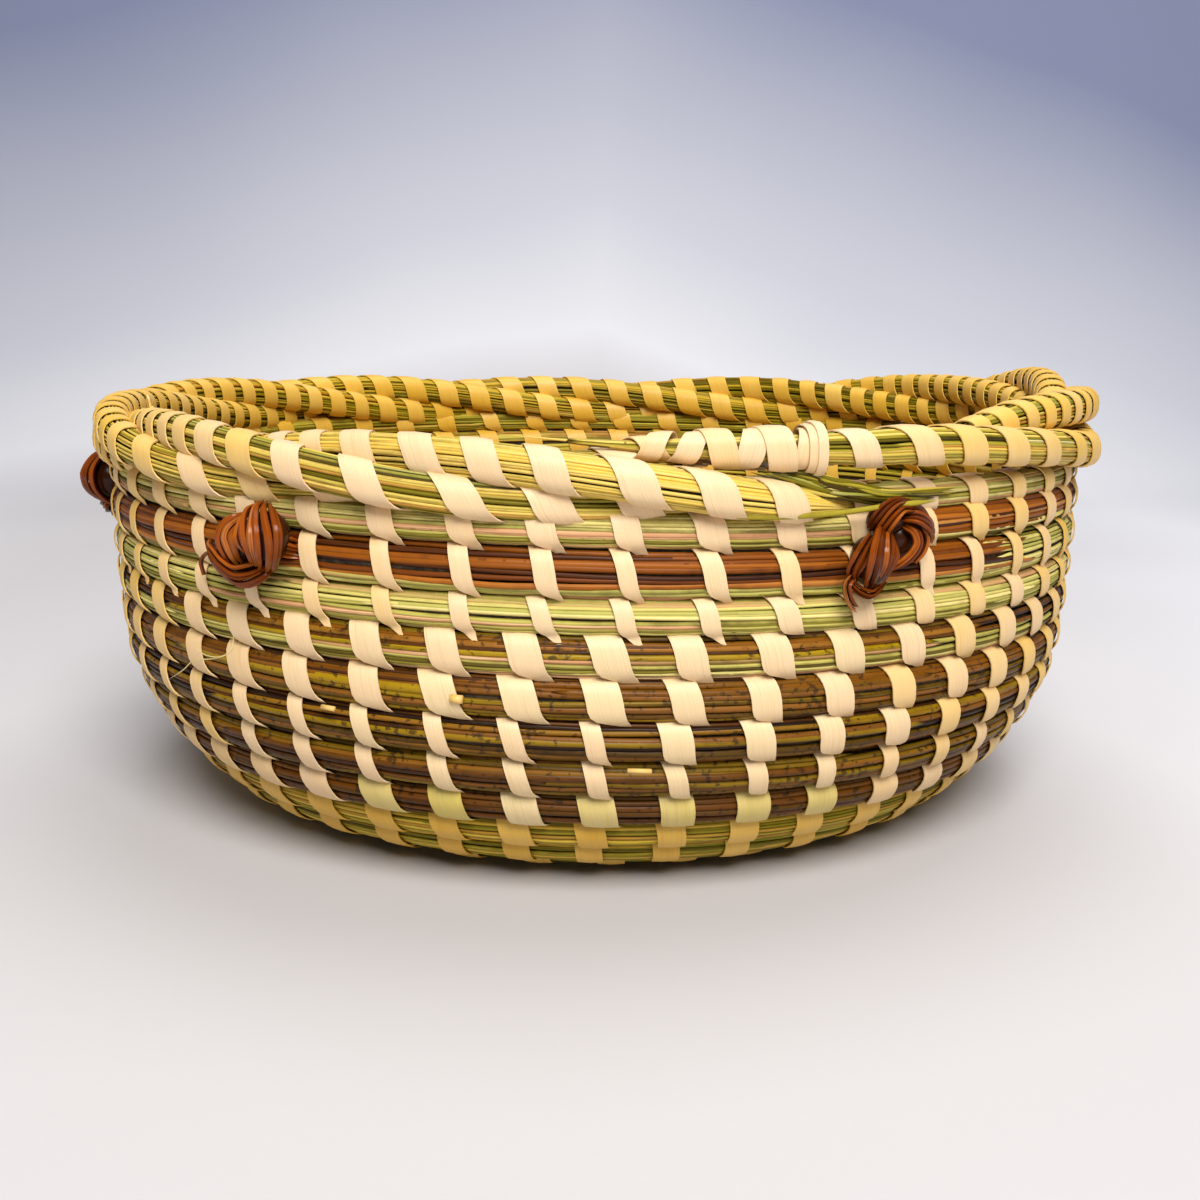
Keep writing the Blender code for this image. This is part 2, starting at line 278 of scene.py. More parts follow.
SWEETGRASS_TONES = [
    (0.00, shown(84, 62, 6)),
    (0.16, shown(138, 114, 16)),
    (0.36, shown(180, 152, 34)),
    (0.55, shown(206, 174, 62)),
    (0.72, shown(228, 194, 92)),
    (0.86, shown(208, 146, 48)),
    (1.00, shown(238, 210, 130)),
]
PALE_TONES = [
    (0.00, shown(84, 66, 16)),
    (0.14, shown(142, 130, 42)),
    (0.30, shown(188, 178, 88)),
    (0.50, shown(220, 206, 120)),
    (0.68, shown(240, 222, 148)),
    (0.80, shown(182, 178, 90)),
    (0.90, shown(208, 150, 108)),
    (1.00, shown(238, 224, 170)),
]
BULRUSH_TONES = [
    (0.00, shown(32, 16, 4)),
    (0.18, shown(82, 45, 7)),
    (0.36, shown(134, 80, 9)),
    (0.50, shown(100, 72, 9)),
    (0.66, shown(166, 134, 12)),
    (0.80, shown(156, 102, 34)),
    (1.00, shown(74, 40, 14)),
]
PINE_TONES = [
    (0.00, shown(60, 27, 3)),
    (0.30, shown(112, 55, 4)),
    (0.60, shown(142, 76, 8)),
    (0.85, shown(170, 98, 24)),
    (1.00, shown(194, 134, 68)),
]
KNOT_TONES = [
    (0.00, shown(58, 24, 4)),
    (0.35, shown(112, 50, 7)),
    (0.70, shown(146, 70, 13)),
    (0.90, shown(166, 88, 26)),
    (1.00, shown(196, 128, 72)),
]
RIM_TONES = [
    (0.00, shown(76, 62, 6)),
    (0.14, shown(128, 116, 16)),
    (0.30, shown(168, 152, 42)),
    (0.46, shown(204, 180, 78)),
    (0.62, shown(236, 204, 108)),
    (0.76, shown(238, 200, 88)),
    (0.84, shown(206, 148, 66)),
    (0.92, shown(150, 150, 58)),
    (1.00, shown(240, 222, 160)),
]
sweetgrass = stem_finish("sweetgrass_stems", SWEETGRASS_TONES, 0.5)
pale_grass = stem_finish("pale_sweetgrass_stems", PALE_TONES, 0.5)
bulrush = stem_finish("bulrush_stems", BULRUSH_TONES, 0.42, speck=0.75)
pine = stem_finish("pine_needles", PINE_TONES, 0.46)
knot_pine = stem_finish("knot_needles", KNOT_TONES, 0.24, drift=0.3, edge=True)
rim_grass = stem_finish("rim_sweetgrass_stems", RIM_TONES, 0.46)

# %% [markdown]
# The middle of a bundle lies in shade and shows only as darkness between the stems. A plain dark
# filling, painted shade, stands for it.

# %% The dark filling
core_finish = Finish("painted_shade_filling")
core_places = core_finish.node("ShaderNodeTexCoord", output=3)
core_lines = core_finish.noise(core_places, 500.0, 1.0)
painted_shade_filling = core_finish.surface(
    Base_Color=core_finish.ramp(core_lines, [(0.42, (0.012, 0.006, 0.001)), (0.60, (0.050, 0.028, 0.007))]),
    Roughness=0.8,
)

# %% [markdown]
# Palm leaf splits along its fibres, so a strip is smooth across and faintly lined along its length. `tone`
# is one number a strip: from greenish cream, through cream, to a golden tan.


# %% The palm strip's finish
def palm_finish():
    finish = Finish("palm_leaf")
    tone = finish.attribute("tone")
    across = finish.attribute("across")
    run = finish.attribute("run")
    lines = finish.noise(finish.vector(across * 22.0, run * 60.0, tone * 71.0), 1.0, 4.0, 0.65)
    cloud = finish.noise(finish.vector(across * 1.2, run * 130.0, tone * 37.0), 1.0, 2.0)
    base = finish.ramp(
        tone + (cloud - 0.5) * 0.12,
        [
            (0.00, shown(204, 182, 92)),
            (0.22, shown(227, 202, 153)),
            (0.50, shown(231, 198, 154)),
            (0.78, shown(227, 184, 86)),
            (1.00, shown(216, 167, 48)),
        ],
    )
    streak = finish.ramp(lines, [(0.30, (0.74, 0.66, 0.50)), (0.50, (1, 1, 1)), (1.0, (1, 1, 1))])
    colour = finish.mix(0.6, base, streak, "MULTIPLY")
    bump = finish.bump(lines, 0.15 * MM, 0.5)
    return finish.surface(Base_Color=colour, Roughness=0.46 + (lines - 0.5) * 0.2, Normal=bump)


palm = palm_finish()
print("finishes:", [made.name for made in (sweetgrass, pale_grass, bulrush, pine, painted_shade_filling, palm)])

# %% [markdown]
# ## The shape that the coil follows
#
# The bundle starts in the middle of the floor, runs outwards, then climbs. Its place is told by turns: after
# a whole number of turns it is at the front. The lists give the bundle's radius, height and half thickness
# at chosen turns, and a smooth curve runs through them. `out` points away from the wall's outside, and `up`
# points along the wall to the next row.

# %% The wall's section
FLOOR_PITCH = 10.4
FLOOR_TURNS = (0, 1, 2, 4, 6, 8)
FLOOR_REST = 5.0
WALL_TURNS = (9, 10, 11, 12, 13, 14, 15, 16, 17, 18, 19, 19.5, 20, 20.25, 20.5, 20.75, 21, 21.5)
WALL_RADII = (93.4, 103.3, 112.4, 120.3, 127.7, 133.2, 137.3, 138.9, 139.7, 140.3, 140.7, 140.8, 141, 141, 141, 141, 141, 141)
WALL_HEIGHTS = (5.4, 7.0, 11.1, 18.3, 26.5, 35.7, 45.6, 55.5, 66.2, 75.4, 85.4, 90.6, 95.5, 98, 99.8, 100.8, 101.5, 102)
HALF_TURNS = (0, 8, 11, 12, 17, 18, 19, 19.5, 20, 20.5, 20.75, 21.5)
HALF_HEIGHTS = (5.5, 5.5, 5.6, 5.7, 5.65, 4.75, 6.1, 5.5, 4.6, 4.1, 3.9, 3.6)
HALF_DEPTHS = (4.4, 4.4, 4.6, 4.8, 4.9, 4.8, 5.0, 4.9, 4.8, 4.5, 4.2, 4.0)

key_turns = np.array((*FLOOR_TURNS, *WALL_TURNS), float)
key_radii = np.array([FLOOR_PITCH * turn for turn in FLOOR_TURNS] + list(WALL_RADII)) * MM
key_heights = np.array([FLOOR_REST for _ in FLOOR_TURNS] + list(WALL_HEIGHTS)) * MM


def smooth_curve(keys, values, at):
    """A smooth curve through the values at the keys, read at other places."""
    slopes = np.gradient(values, keys)
    low = np.clip(np.searchsorted(keys, at, side="right") - 1, 0, len(keys) - 2)
    width = keys[low + 1] - keys[low]
    part = (at - keys[low]) / width
    square, cube = part**2, part**3
    return (
        (2 * cube - 3 * square + 1) * values[low]
        + (cube - 2 * square + part) * width * slopes[low]
        + (3 * square - 2 * cube) * values[low + 1]
        + (cube - square) * width * slopes[low + 1]
    )


def around(turns):
    """The direction away from the basket's axis at each turn, wound clockwise seen from above."""
    angle = -TURN * np.asarray(turns)
    return np.stack([np.sin(angle), -np.cos(angle), np.zeros_like(angle)], axis=-1)


def pressed(part):
    """A sine or cosine that makes a round outline a little squarer, as rows that press on each other are."""
    return np.sign(part) * np.abs(part) ** 0.82


class Path:
    """Places along a bundle: centre, out, up, and how far it reaches along out and along up."""

    def __init__(self, centre, out, up, depth, height):
        self.centre = centre
        self.out = out
        self.up = up
        self.depth = depth
        self.height = height

    def at(self, angle, lift=0.0, share=1.0):
        """Points on the bundle's outline, lifted off it. Angle 0 is out, a quarter turn is up."""
        depth = (self.depth + lift) * share * pressed(np.cos(angle))
        height = (self.height + lift) * share * pressed(np.sin(angle))
        return self.centre + depth[..., None] * self.out + height[..., None] * self.up


def coil_path(turns):
    turns = np.asarray(turns, float)
    radial = around(turns)
    vertical = np.broadcast_to((0.0, 0.0, 1.0), radial.shape)
    radius = smooth_curve(key_turns, key_radii, turns)
    height = smooth_curve(key_turns, key_heights, turns)
    step = 0.05
    rise = smooth_curve(key_turns, key_heights, turns + step) - smooth_curve(key_turns, key_heights, turns - step)
    spread = smooth_curve(key_turns, key_radii, turns + step) - smooth_curve(key_turns, key_radii, turns - step)
    size = np.hypot(rise, spread)
    up = (spread / size)[..., None] * radial + (rise / size)[..., None] * vertical
    out = (rise / size)[..., None] * radial - (spread / size)[..., None] * vertical
    return Path(
        radius[..., None] * radial + height[..., None] * vertical,
        out,
        up,
        np.interp(turns, HALF_TURNS, HALF_DEPTHS) * MM,
        np.interp(turns, HALF_TURNS, HALF_HEIGHTS) * MM,
    )


class Course:
    """A bundle's way: gives its Path at turns, and turns at lengths along it."""

    def __init__(self, path, first, last, step=1 / 96):
        self.path = path
        self.turns = np.arange(first, last + step / 2, step)
        runs = np.linalg.norm(np.diff(path(self.turns).centre, axis=0), axis=1)
        self.lengths = np.concatenate([[0], np.cumsum(runs)])

    def length_at(self, turn):
        return np.interp(turn, self.turns, self.lengths)

    def turn_at(self, length):
        return np.interp(length, self.lengths, self.turns)

    def along(self, places):
        return self.path(self.turn_at(places))


coil_course = Course(coil_path, 0.2, 21.4)
length_at, turn_at = coil_course.length_at, coil_course.turn_at
print(f"the coil is {length_at(20.93):.2f} m long")

# %% [markdown]
# ## Stitches: where they are
#
# Each lap has a whole number of stitches, about 19 mm apart. The list gives the angle, to the right of the
# front, of the stitch next to the front in each lap, so the columns of stitches lean as they do on the
# basket. In the floor the stitches keep the same distance.

# %% Stitch places
STITCH_SPACING = 18.5
PHASE_TURNS = (11, 12, 13, 14, 15, 16, 17, 18, 19, 20, 21)
PHASE_ANGLES = (0.2, 0.4, 1.2, 1.0, 0.7, 1.3, 1.8, 3.1, 3.2, 3.2, 3.2)
LAP_STITCHES = (41, 43, 45, 46, 47, 47, 47, 48, 48, 48)


def stitch_turns():
    marks = [turn - angle / 360 for turn, angle in zip(PHASE_TURNS, PHASE_ANGLES)]
    start = length_at(1.4)
    end = length_at(marks[0])
    count = round((end - start) / (STITCH_SPACING * MM))
    places = [turn_at(start + (end - start) * np.arange(count) / count)]
    for first, last, stitches in zip(marks, marks[1:], LAP_STITCHES):
        places.append(first + (last - first) * np.arange(stitches) / stitches)
    places = np.concatenate(places)
    return places + chance.normal(0, 0.00035, len(places))


stitches = stitch_turns()
stitches = stitches[stitches < 20.93]
print(len(stitches), "stitches")

# %% [markdown]
# ## A bundle of stems
#
# A stem is a thin tube that follows the bundle, at its own angle round the bundle's middle. It wanders a
# little, sinks between its neighbours and comes up again, and is pressed in where a stitch crosses it. A
# curve with a round bevel makes such tubes: one spline a stem, tapered to a point at both ends. Once the
# curve is a mesh, its rings of vertices still lie in the order of the splines, so each stem's values can be
# written to its vertices.

# %% Bundles
RING_STEP = 4.4 * MM


def wander(length, spacing, amount):
    """A slow random drift along a length, as a function of the place."""
    knots = np.arange(-spacing, length + 2 * spacing, spacing)
    values = chance.normal(0, amount, len(knots))
    return lambda place: smooth_curve(knots, values, place)


class Stem:
    """One stem's course: places along the bundle, angles, how far out, and thickness."""

    def __init__(self, kind, places, angles, reach, radii, tone):
        self.kind = kind
        self.places = places
        self.angles = angles
        self.reach = reach
        self.radii = radii
        self.tone = tone


def lay_stems(first, last, count, thickness, kind_at, spread=1.0, overlap=16 * MM, sink=0.05, lengths=(0.14, 0.55)):
    """Stems side by side round a bundle from one place to another. kind_at picks a kind by angle."""
    stems = []
    gap = TURN / count
    for i in range(count):
        slot_angle = TURN * (i + chance.uniform(-0.2, 0.2)) / count
        start = first - chance.uniform(0.1, 1) * overlap
        while start < last:
            end = min(start + chance.uniform(*lengths), last + chance.uniform(0.1, 1) * overlap)
            if last - end < 60 * MM:
                end = last + chance.uniform(0.1, 1) * overlap
            size = (end - start) / max(4, round((end - start) / RING_STEP))
            places = np.arange(start, end + size / 2, size)
            run = places - start
            angles = slot_angle + wander(run[-1], 45 * MM, 0.18 * gap * spread)(run)
            angles = angles + wander(run[-1], 160 * MM, 0.24 * gap * spread)(run)
            reach = 1 - sink + wander(run[-1], 38 * MM, 0.028 * spread)(run)
            radius = thickness / 2 * (1.06 + chance.uniform(-0.28, 0.28))
            radii = radius * (1 + wander(run[-1], 60 * MM, 0.06)(run))
            radii[0] = radii[-1] = 1e-6
            radii[1] *= 0.6
            radii[-2] *= 0.6
            reach[0] -= 0.08
            reach[-1] -= 0.08
            tone = chance.uniform(0.03, 0.97)
            stems.append(Stem(kind_at(slot_angle), places, angles, reach, radii, tone))
            start = last if end >= last else end - chance.uniform(8, 14) * MM
    return stems


def tubes(name, lines, materials, sides=4):
    """Round lines as one mesh. Each line is its kind, its points, its radii, its tone and its places."""
    curve = bpy.data.curves.new(name, "CURVE")
    curve.dimensions = "3D"
    curve.twist_mode = "Z_UP"
    curve.bevel_depth = 1
    curve.bevel_resolution = (sides - 4) // 2
    curve.resolution_u = 1
    for material in materials:
        curve.materials.append(material)
    ring = np.sin(TURN * np.arange(sides) / sides)
    tones, runs, rings = [], [], []
    for kind, points, radii, tone, places in lines:
        spline = curve.splines.new("POLY")
        spline.points.add(len(points) - 1)
        spline.points.foreach_set("co", np.column_stack([points, np.ones(len(points))]).ravel())
        spline.points.foreach_set("radius", radii)
        spline.material_index = kind
        spline.use_smooth = True
        tones.append(np.full(len(points) * sides, tone))
        runs.append(np.repeat(places + tone, sides))
        rings.append(np.tile(ring, len(points)))
    obj = bpy.data.objects.new(name, curve)
    bpy.context.scene.collection.objects.link(obj)
    pick(obj)
    bpy.ops.object.convert(target="MESH")
    mesh = obj.data
    for label, values in (("tone", tones), ("run", runs), ("across", rings)):
        numbers = np.concatenate(values).astype(np.float32)
        mesh.attributes.new(label, "FLOAT", "POINT").data.foreach_set("value", numbers)
    bpy.ops.object.mode_set(mode="EDIT")
    bpy.ops.mesh.select_all(action="SELECT")
    bpy.ops.mesh.remove_doubles(threshold=0.00001)
    bpy.ops.object.mode_set(mode="OBJECT")
    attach(obj, "root")
    return obj


def stem_tubes(name, stems, path_of, materials, sides=4, presses=None, press_depth=0.25 * MM):
    """Makes the stems one mesh. path_of gives the bundle's Path at places, presses are the stitches' places."""
    lines = []
    for stem in stems:
        path = path_of(stem.places)
        press = 0
        if presses is not None and len(presses):
            nearest = presses[np.clip(np.searchsorted(presses, stem.places), 1, len(presses) - 1)]
            before = presses[np.clip(np.searchsorted(presses, stem.places) - 1, 0, len(presses) - 1)]
            away = np.minimum(abs(nearest - stem.places), abs(stem.places - before))
            press = press_depth * np.exp(-((away / (4.5 * MM)) ** 2))
        points = path.at(stem.angles, -stem.radii - press, stem.reach)
        lines.append((stem.kind, points, stem.radii, stem.tone, stem.places))
    return tubes(name, lines, materials, sides)


def filling(name, places, path_of, share=0.77):
    """The dark middle of a bundle, painted shade: a tube that is a little thinner than the bundle."""
    curve = bpy.data.curves.new(name, "CURVE")
    curve.dimensions = "3D"
    curve.twist_mode = "Z_UP"
    curve.bevel_depth = 1
    curve.bevel_resolution = 2
    curve.use_fill_caps = True
    path = path_of(places)
    spline = curve.splines.new("POLY")
    spline.points.add(len(places) - 1)
    spline.points.foreach_set("co", np.column_stack([path.centre, np.ones(len(places))]).ravel())
    spline.points.foreach_set("radius", np.minimum(path.depth, path.height) * share)
    obj = bpy.data.objects.new(name, curve)
    bpy.context.scene.collection.objects.link(obj)
    pick(obj)
    bpy.ops.object.convert(target="MESH")
    bpy.ops.object.mode_set(mode="EDIT")
    bpy.ops.mesh.select_all(action="SELECT")
    bpy.ops.mesh.remove_doubles(threshold=0.00001)
    bpy.ops.object.mode_set(mode="OBJECT")
    obj.data.materials.append(painted_shade_filling)
    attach(obj, "root")
    return obj


def spaced(first, last, step):
    return np.linspace(first, last, max(2, round((last - first) / step) + 1))


# %% [markdown]
# ## The rows of the coil
#
# The kinds of stem change along the bundle, and in some rows also from its top to its foot: the dark row has
# pine needles above pale grass, and the mixed rows have brown stems above pale grass. Each row of the table
# is a node of the frame: where it ends, its kinds of stem, how many lie round it and how thick they are.


# %% Coils
along_coil = coil_course.along
stitch_places = length_at(stitches)
ALL_ONE = (lambda angle: 0)
NEEDLES_OUTSIDE = (lambda angle: 0 if math.sin(angle) > -0.4 and math.cos(angle) > -0.1 else 1)
BROWN_ABOVE = (lambda angle: 0 if math.sin(angle) > 0.06 else 1)
COILS = (
    ("base_coil", 1.0, 8.5, (sweetgrass,), ALL_ONE, 22, 1.4, 4, "sweetgrass"),
    ("lower_sweetgrass_coil", 8.5, 12.5, (rim_grass,), ALL_ONE, 30, 1.08, 4, "sweetgrass"),
    ("lower_bulrush_coil", 12.5, 14.5, (bulrush,), ALL_ONE, 21, 1.6, 6, "bulrush"),
    ("upper_bulrush_coil", 14.5, 16.62, (bulrush,), ALL_ONE, 21, 1.6, 6, "bulrush"),
    ("mixed_stem_coil", 16.62, 17.62, (bulrush, pale_grass), BROWN_ABOVE, 26, 1.25, 4, "mixed_stems"),
    ("pale_sweetgrass_coil", 17.62, 18.87, (pale_grass,), ALL_ONE, 32, 1.02, 4, "pale_sweetgrass"),
    ("pine_needle_coil", 18.87, 19.92, (pine, pale_grass), NEEDLES_OUTSIDE, 31, 1.4, 6, "pine_needles"),
    ("top_sweetgrass_coil", 19.92, 20.93, (pale_grass,), ALL_ONE, 31, 1.02, 4, "pale_sweetgrass"),
)
SHOWN_STEMS = (
    ("top_sweetgrass_coil", 19.925, 20.10, -0.12, 0.75, 0.90),
    ("top_sweetgrass_coil", 20.12, 20.30, -0.45, 0.7, 0.89),
    ("upper_bulrush_coil", 16.034, 16.135, 0.22, 1.35, 0.66),
    ("upper_bulrush_coil", 15.90, 16.01, 0.5, 1.1, 0.42),
    ("lower_bulrush_coil", 13.93, 14.12, 0.35, 0.95, 0.42),
    ("upper_bulrush_coil", 14.90, 15.12, 0.12, 0.95, 0.66),
    ("mixed_stem_coil", 16.90, 17.14, 0.05, 1.0, 0.66),
    ("mixed_stem_coil", 16.88, 17.12, 0.42, 0.9, 0.80),
    ("pale_sweetgrass_coil", 17.97, 18.12, -0.3, 0.6, 0.90),
)

for name, first, last, materials, kind_at, count, thickness, sides, slot in COILS:
    first_place, last_place = length_at(first), length_at(last)
    spread = 1.7 if name == "pine_needle_coil" else 1.0
    stems = lay_stems(first_place, last_place, count, thickness * MM, kind_at, spread)
    for coil_name, first_turn, last_turn, angle, half, tone in SHOWN_STEMS:
        if coil_name == name:
            places = spaced(length_at(first_turn), length_at(last_turn), RING_STEP)
            radii = np.full(len(places), half * MM)
            radii[[0, -1]] = 1e-6
            stems.append(Stem(0, places, np.full(len(places), angle), np.full(len(places), 1.03), radii, tone))
    coil = stem_tubes(name + "_stems", stems, along_coil, materials, sides, stitch_places)
    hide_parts(name)
    core = filling(name + "_filling", spaced(first_place, last_place, 2 * RING_STEP), along_coil)
    print(name, len(coil.data.polygons), "faces")


def knot_path(turns):
    """The coil's first lap, thinned where it closes on itself, for the knot that it starts from."""
    path = coil_path(np.maximum(turns, 0.45))
    shrink = np.clip(np.asarray(turns) - 0.35, 0, 1)
    path.depth = path.depth * (0.55 + 0.45 * shrink)
    return path


knot_course = Course(knot_path, 0.46, 1.02)
knot_end = knot_course.lengths[-1]
stems = lay_stems(0.0, knot_end, 20, 1.5 * MM, ALL_ONE, overlap=0.5 * MM, lengths=(0.1, 0.2))
for stem in stems:
    stem.places = np.clip(stem.places, 0, knot_end)
start = stem_tubes("start_knot_stems", stems, knot_course.along, (sweetgrass,))
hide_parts("start_knot")
filling("start_knot_filling", np.linspace(0, knot_end, 16), knot_course.along)
print("the start knot has", len(stems), "stems")


def seam_path(turns):
    """The way between a row and the next one, where the two bundles leave a groove."""
    lower, upper = coil_path(turns), coil_path(np.asarray(turns) + 1)
    half = np.full_like(np.asarray(turns, float), 1.5 * MM)
    return Path((lower.centre + upper.centre) / 2, lower.out, lower.up, half, half)


# Painted shade: a dark tube along the groove between each row and the next.
seam = filling("seam_filling", np.arange(1.0, 19.9, 1 / 60), seam_path, 1.0)

# %% [markdown]
# ## Palm strips
#
# A stitch is a strip of palm leaf that comes over the top of its row, runs down the outside with a slant and
# dives into the row below. One strip is modelled flat: a grid with thickness. It is then copied for each
# stitch, and each copy is bent round its bundle: the length of the flat strip becomes the way round the
# bundle, its width becomes the way along it.


# %% The flat strip
STRIP_LENGTHWAYS = 12
STRIP_THICKNESS = 0.32 * MM


def flat_strip(steps, name):
    """A strip of unit length along X, from -1 to 1 across, one thickness high."""
    deselect()
    bpy.ops.mesh.primitive_grid_add(x_subdivisions=steps, y_subdivisions=2, size=2)
    strip = bpy.context.object
    strip.name = name
    pick(strip)
    bpy.ops.object.mode_set(mode="EDIT")
    bpy.ops.mesh.select_all(action="SELECT")
    bpy.ops.transform.resize(value=(0.5, 1, 1))
    bpy.ops.transform.translate(value=(0.5, 0, 0))
    bpy.ops.object.mode_set(mode="OBJECT")
    wall = strip.modifiers.new("thickness", "SOLIDIFY")
    wall.thickness = 1
    wall.offset = 1
    bpy.ops.object.modifier_apply(modifier="thickness")
    return strip


def template_of(strip):
    mesh = strip.data
    points = np.empty(len(mesh.vertices) * 3)
    mesh.vertices.foreach_get("co", points)
    faces = [tuple(face.vertices) for face in mesh.polygons]
    return points.reshape(-1, 3), faces


short_strip = flat_strip(STRIP_LENGTHWAYS, "stitch_strip")
short_points, short_faces = template_of(short_strip)
bpy.data.objects.remove(short_strip)
loop_strip = flat_strip(20, "loop_strip")
loop_points, loop_faces = template_of(loop_strip)
bpy.data.objects.remove(loop_strip)
print("a stitch has", len(short_faces), "faces and a loop", len(loop_faces))


def strips_object(name, template, faces, pieces, material=None):
    """All the strips of a list as one mesh. Each piece is its bent points and its tone."""
    flat = template[:, 0]
    count = len(template)
    points = np.concatenate([bent for bent, _ in pieces])
    face_list = [tuple(v + count * i for v in face) for i in range(len(pieces)) for face in faces]
    mesh = bpy.data.meshes.new(name)
    mesh.from_pydata(points.tolist(), [], face_list)
    values = {
        "tone": np.repeat([tone for _, tone in pieces], count),
        "across": np.tile(template[:, 1], len(pieces)),
        "run": np.tile(flat * 0.016, len(pieces)) + np.repeat(np.arange(len(pieces)) * 0.37, count),
    }
    for label, numbers in values.items():
        mesh.attributes.new(label, "FLOAT", "POINT").data.foreach_set("value", numbers.astype(np.float32))
    obj = bpy.data.objects.new(name, mesh)
    bpy.context.scene.collection.objects.link(obj)
    pick(obj)
    bpy.ops.object.mode_set(mode="EDIT")
    bpy.ops.mesh.select_all(action="SELECT")
    bpy.ops.mesh.normals_make_consistent(inside=False)
    bpy.ops.object.mode_set(mode="OBJECT")
    bpy.ops.object.shade_smooth_by_angle(angle=math.radians(50))
    mesh.materials.append(material or palm)
    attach(obj, "root")
    return obj


# %% [markdown]
# A worker pulls a new strip every dozen stitches, and no two are of one width. The list says where along the
# coil the strips change and how wide they are.

# %% Bending the stitches
STRIP_TURNS = (0, 9.0, 11.5, 12.6, 13.4, 14.35, 14.985, 15.4, 16.5, 17.4, 17.955, 18.4, 19.3, 20.3)
STRIP_WIDTHS = (6.0, 6.5, 7.4, 8.0, 4.7, 7.2, 4.7, 7.4, 7.5, 6.0, 4.4, 4.5, 6.5, 6.3)
STRIP_SLANTS = (1.0, 1.5, 2.5, 3.2, 4.2, 4.4, 4.6, 5.0, 5.4, 5.4, 4.4, 4.8, 4.6, 4.0)


def strip_run(turn):
    place = int(np.searchsorted(STRIP_TURNS, turn, side="right")) - 1
    return STRIP_WIDTHS[place] * MM, STRIP_SLANTS[place] * MM


def strip_tone_and_painted_shade(turn, inside):
    """Greenish cream low, golden near the floor, cream elsewhere; sides and inside golden as painted shade."""
    if turn < 12.45:
        shade = 0.92
    elif turn < 13.4:
        shade = 0.05
    elif turn < 18:
        shade = 0.40
    else:
        shade = 0.50
    away = abs((turn + 0.5) % 1 - 0.5) * 360
    # Painted shade and warm bounce light: inside strips and strips towards the sides turn golden.
    if inside:
        shade = 0.92
    elif away > 30:
        shade = max(shade, float(np.interp(away, (30, 72), (0.5, 0.78))))
    return float(np.clip(shade + chance.normal(0, 0.06), 0, 1))


DIVE_SHARE = 0.80
DIVE_TURNS = (0, 17.95, 18.95, 19.95, 30)
DIVE_ANGLES = (62, 62, 34, 58, 58)


def bent_stitch(turn, width, slant, inside):
    """The flat strip laid over the row at a turn, and into the row below at its lower end."""
    along, across, lift = short_points.T
    over = np.clip(along / DIVE_SHARE, 0, 1)
    dive = np.clip((along - DIVE_SHARE) / (1 - DIVE_SHARE), 0, 1)
    tip = np.clip((along - 0.62) / 0.34, 0, 1) ** 1.6
    near = (1 - across) / 2
    shift = slant * (along - 0.5) + across * width / 2 + tip * near * width * chance.uniform(0.45, 0.85)
    radius = np.interp(turn, key_turns, key_radii)
    turns = turn - (-shift if inside else shift) / (TURN * radius)
    low_degrees = DIVE_ANGLES[int(np.searchsorted(DIVE_TURNS, turn + 1, side="right")) - 1]
    angle = np.radians(100 - 152 * over)
    low_angle = np.full_like(angle, math.radians(low_degrees))
    if inside:
        angle = math.pi - angle
        low_angle = math.pi - low_angle
    crown = STRIP_THICKNESS * (lift + 0.5 * (1 - across**2))
    on_row = coil_path(turns).at(angle, crown)
    in_row = coil_path(turns - 1).at(low_angle, crown - 0.8 * MM)
    smooth = dive * dive * (3 - 2 * dive)
    return on_row * (1 - smooth)[:, None] + in_row * smooth[:, None]


for inside, label in ((False, "outer"), (True, "inner")):
    groups = {}
    for turn in stitches:
        if turn < 1.6:
            continue
        width, slant = strip_run(turn)
        width *= 1 + chance.normal(0, 0.05)
        slant *= 1 + chance.normal(0, 0.12)
        if inside:
            slant *= 1.3
            width *= 1.15
        bent = bent_stitch(turn, width, slant, inside)
        row = "floor" if turn < 10 else "low" if turn < 14 else "middle" if turn < 18.45 else "top"
        groups.setdefault(row, []).append((bent, strip_tone_and_painted_shade(turn, inside)))
    for row, pieces in groups.items():
        made = strips_object(f"{label}_stitches_{row}", short_points, short_faces, pieces)
        if made.name == "outer_stitches_top":
            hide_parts("pine_row_palm_strip")
        print(made.name, len(pieces), "stitches")

# %% [markdown]
# ## The rim
#
# Three strands of grass twist round each other above the last row. Each strand circles the rim's axis once
# in about a quarter of a turn, and is on top at its crest. The second strand's end leaves the twist, runs
# along the outside and thins into a tip at the front.

# %% Strands
RIM_RADIUS = 142
TWIST = 4.8
LAY = 0.2583
FIRST_CREST = 20.047
STRAND_HALF = 4.6
RIM_KEYS = (
    (19.90, 103.5), (20.00, 106.0), (20.047, 106.4), (20.13, 107.6), (20.30, 109.3), (20.38, 108.4),
    (20.475, 107.4), (20.56, 108.4), (20.65, 112.1), (20.745, 117.6), (20.80, 114.6), (20.90, 114.4), (21.05, 113),
)
END_KEYS = (
    (20.800, 146.3, 107.2), (20.836, 146.5, 109.2), (20.859, 146.6, 110.8), (20.879, 146.6, 112.1),
    (20.896, 146.5, 113.2), (20.911, 146.3, 113.7), (20.932, 145.6, 113.6), (20.955, 144.0, 113.7),
    (20.975, 142.2, 113.8), (20.990, 141.2, 114.2), (21.005, 140.6, 115.0), (21.024, 140.4, 116.2),
)
rim_keys = np.array(RIM_KEYS)


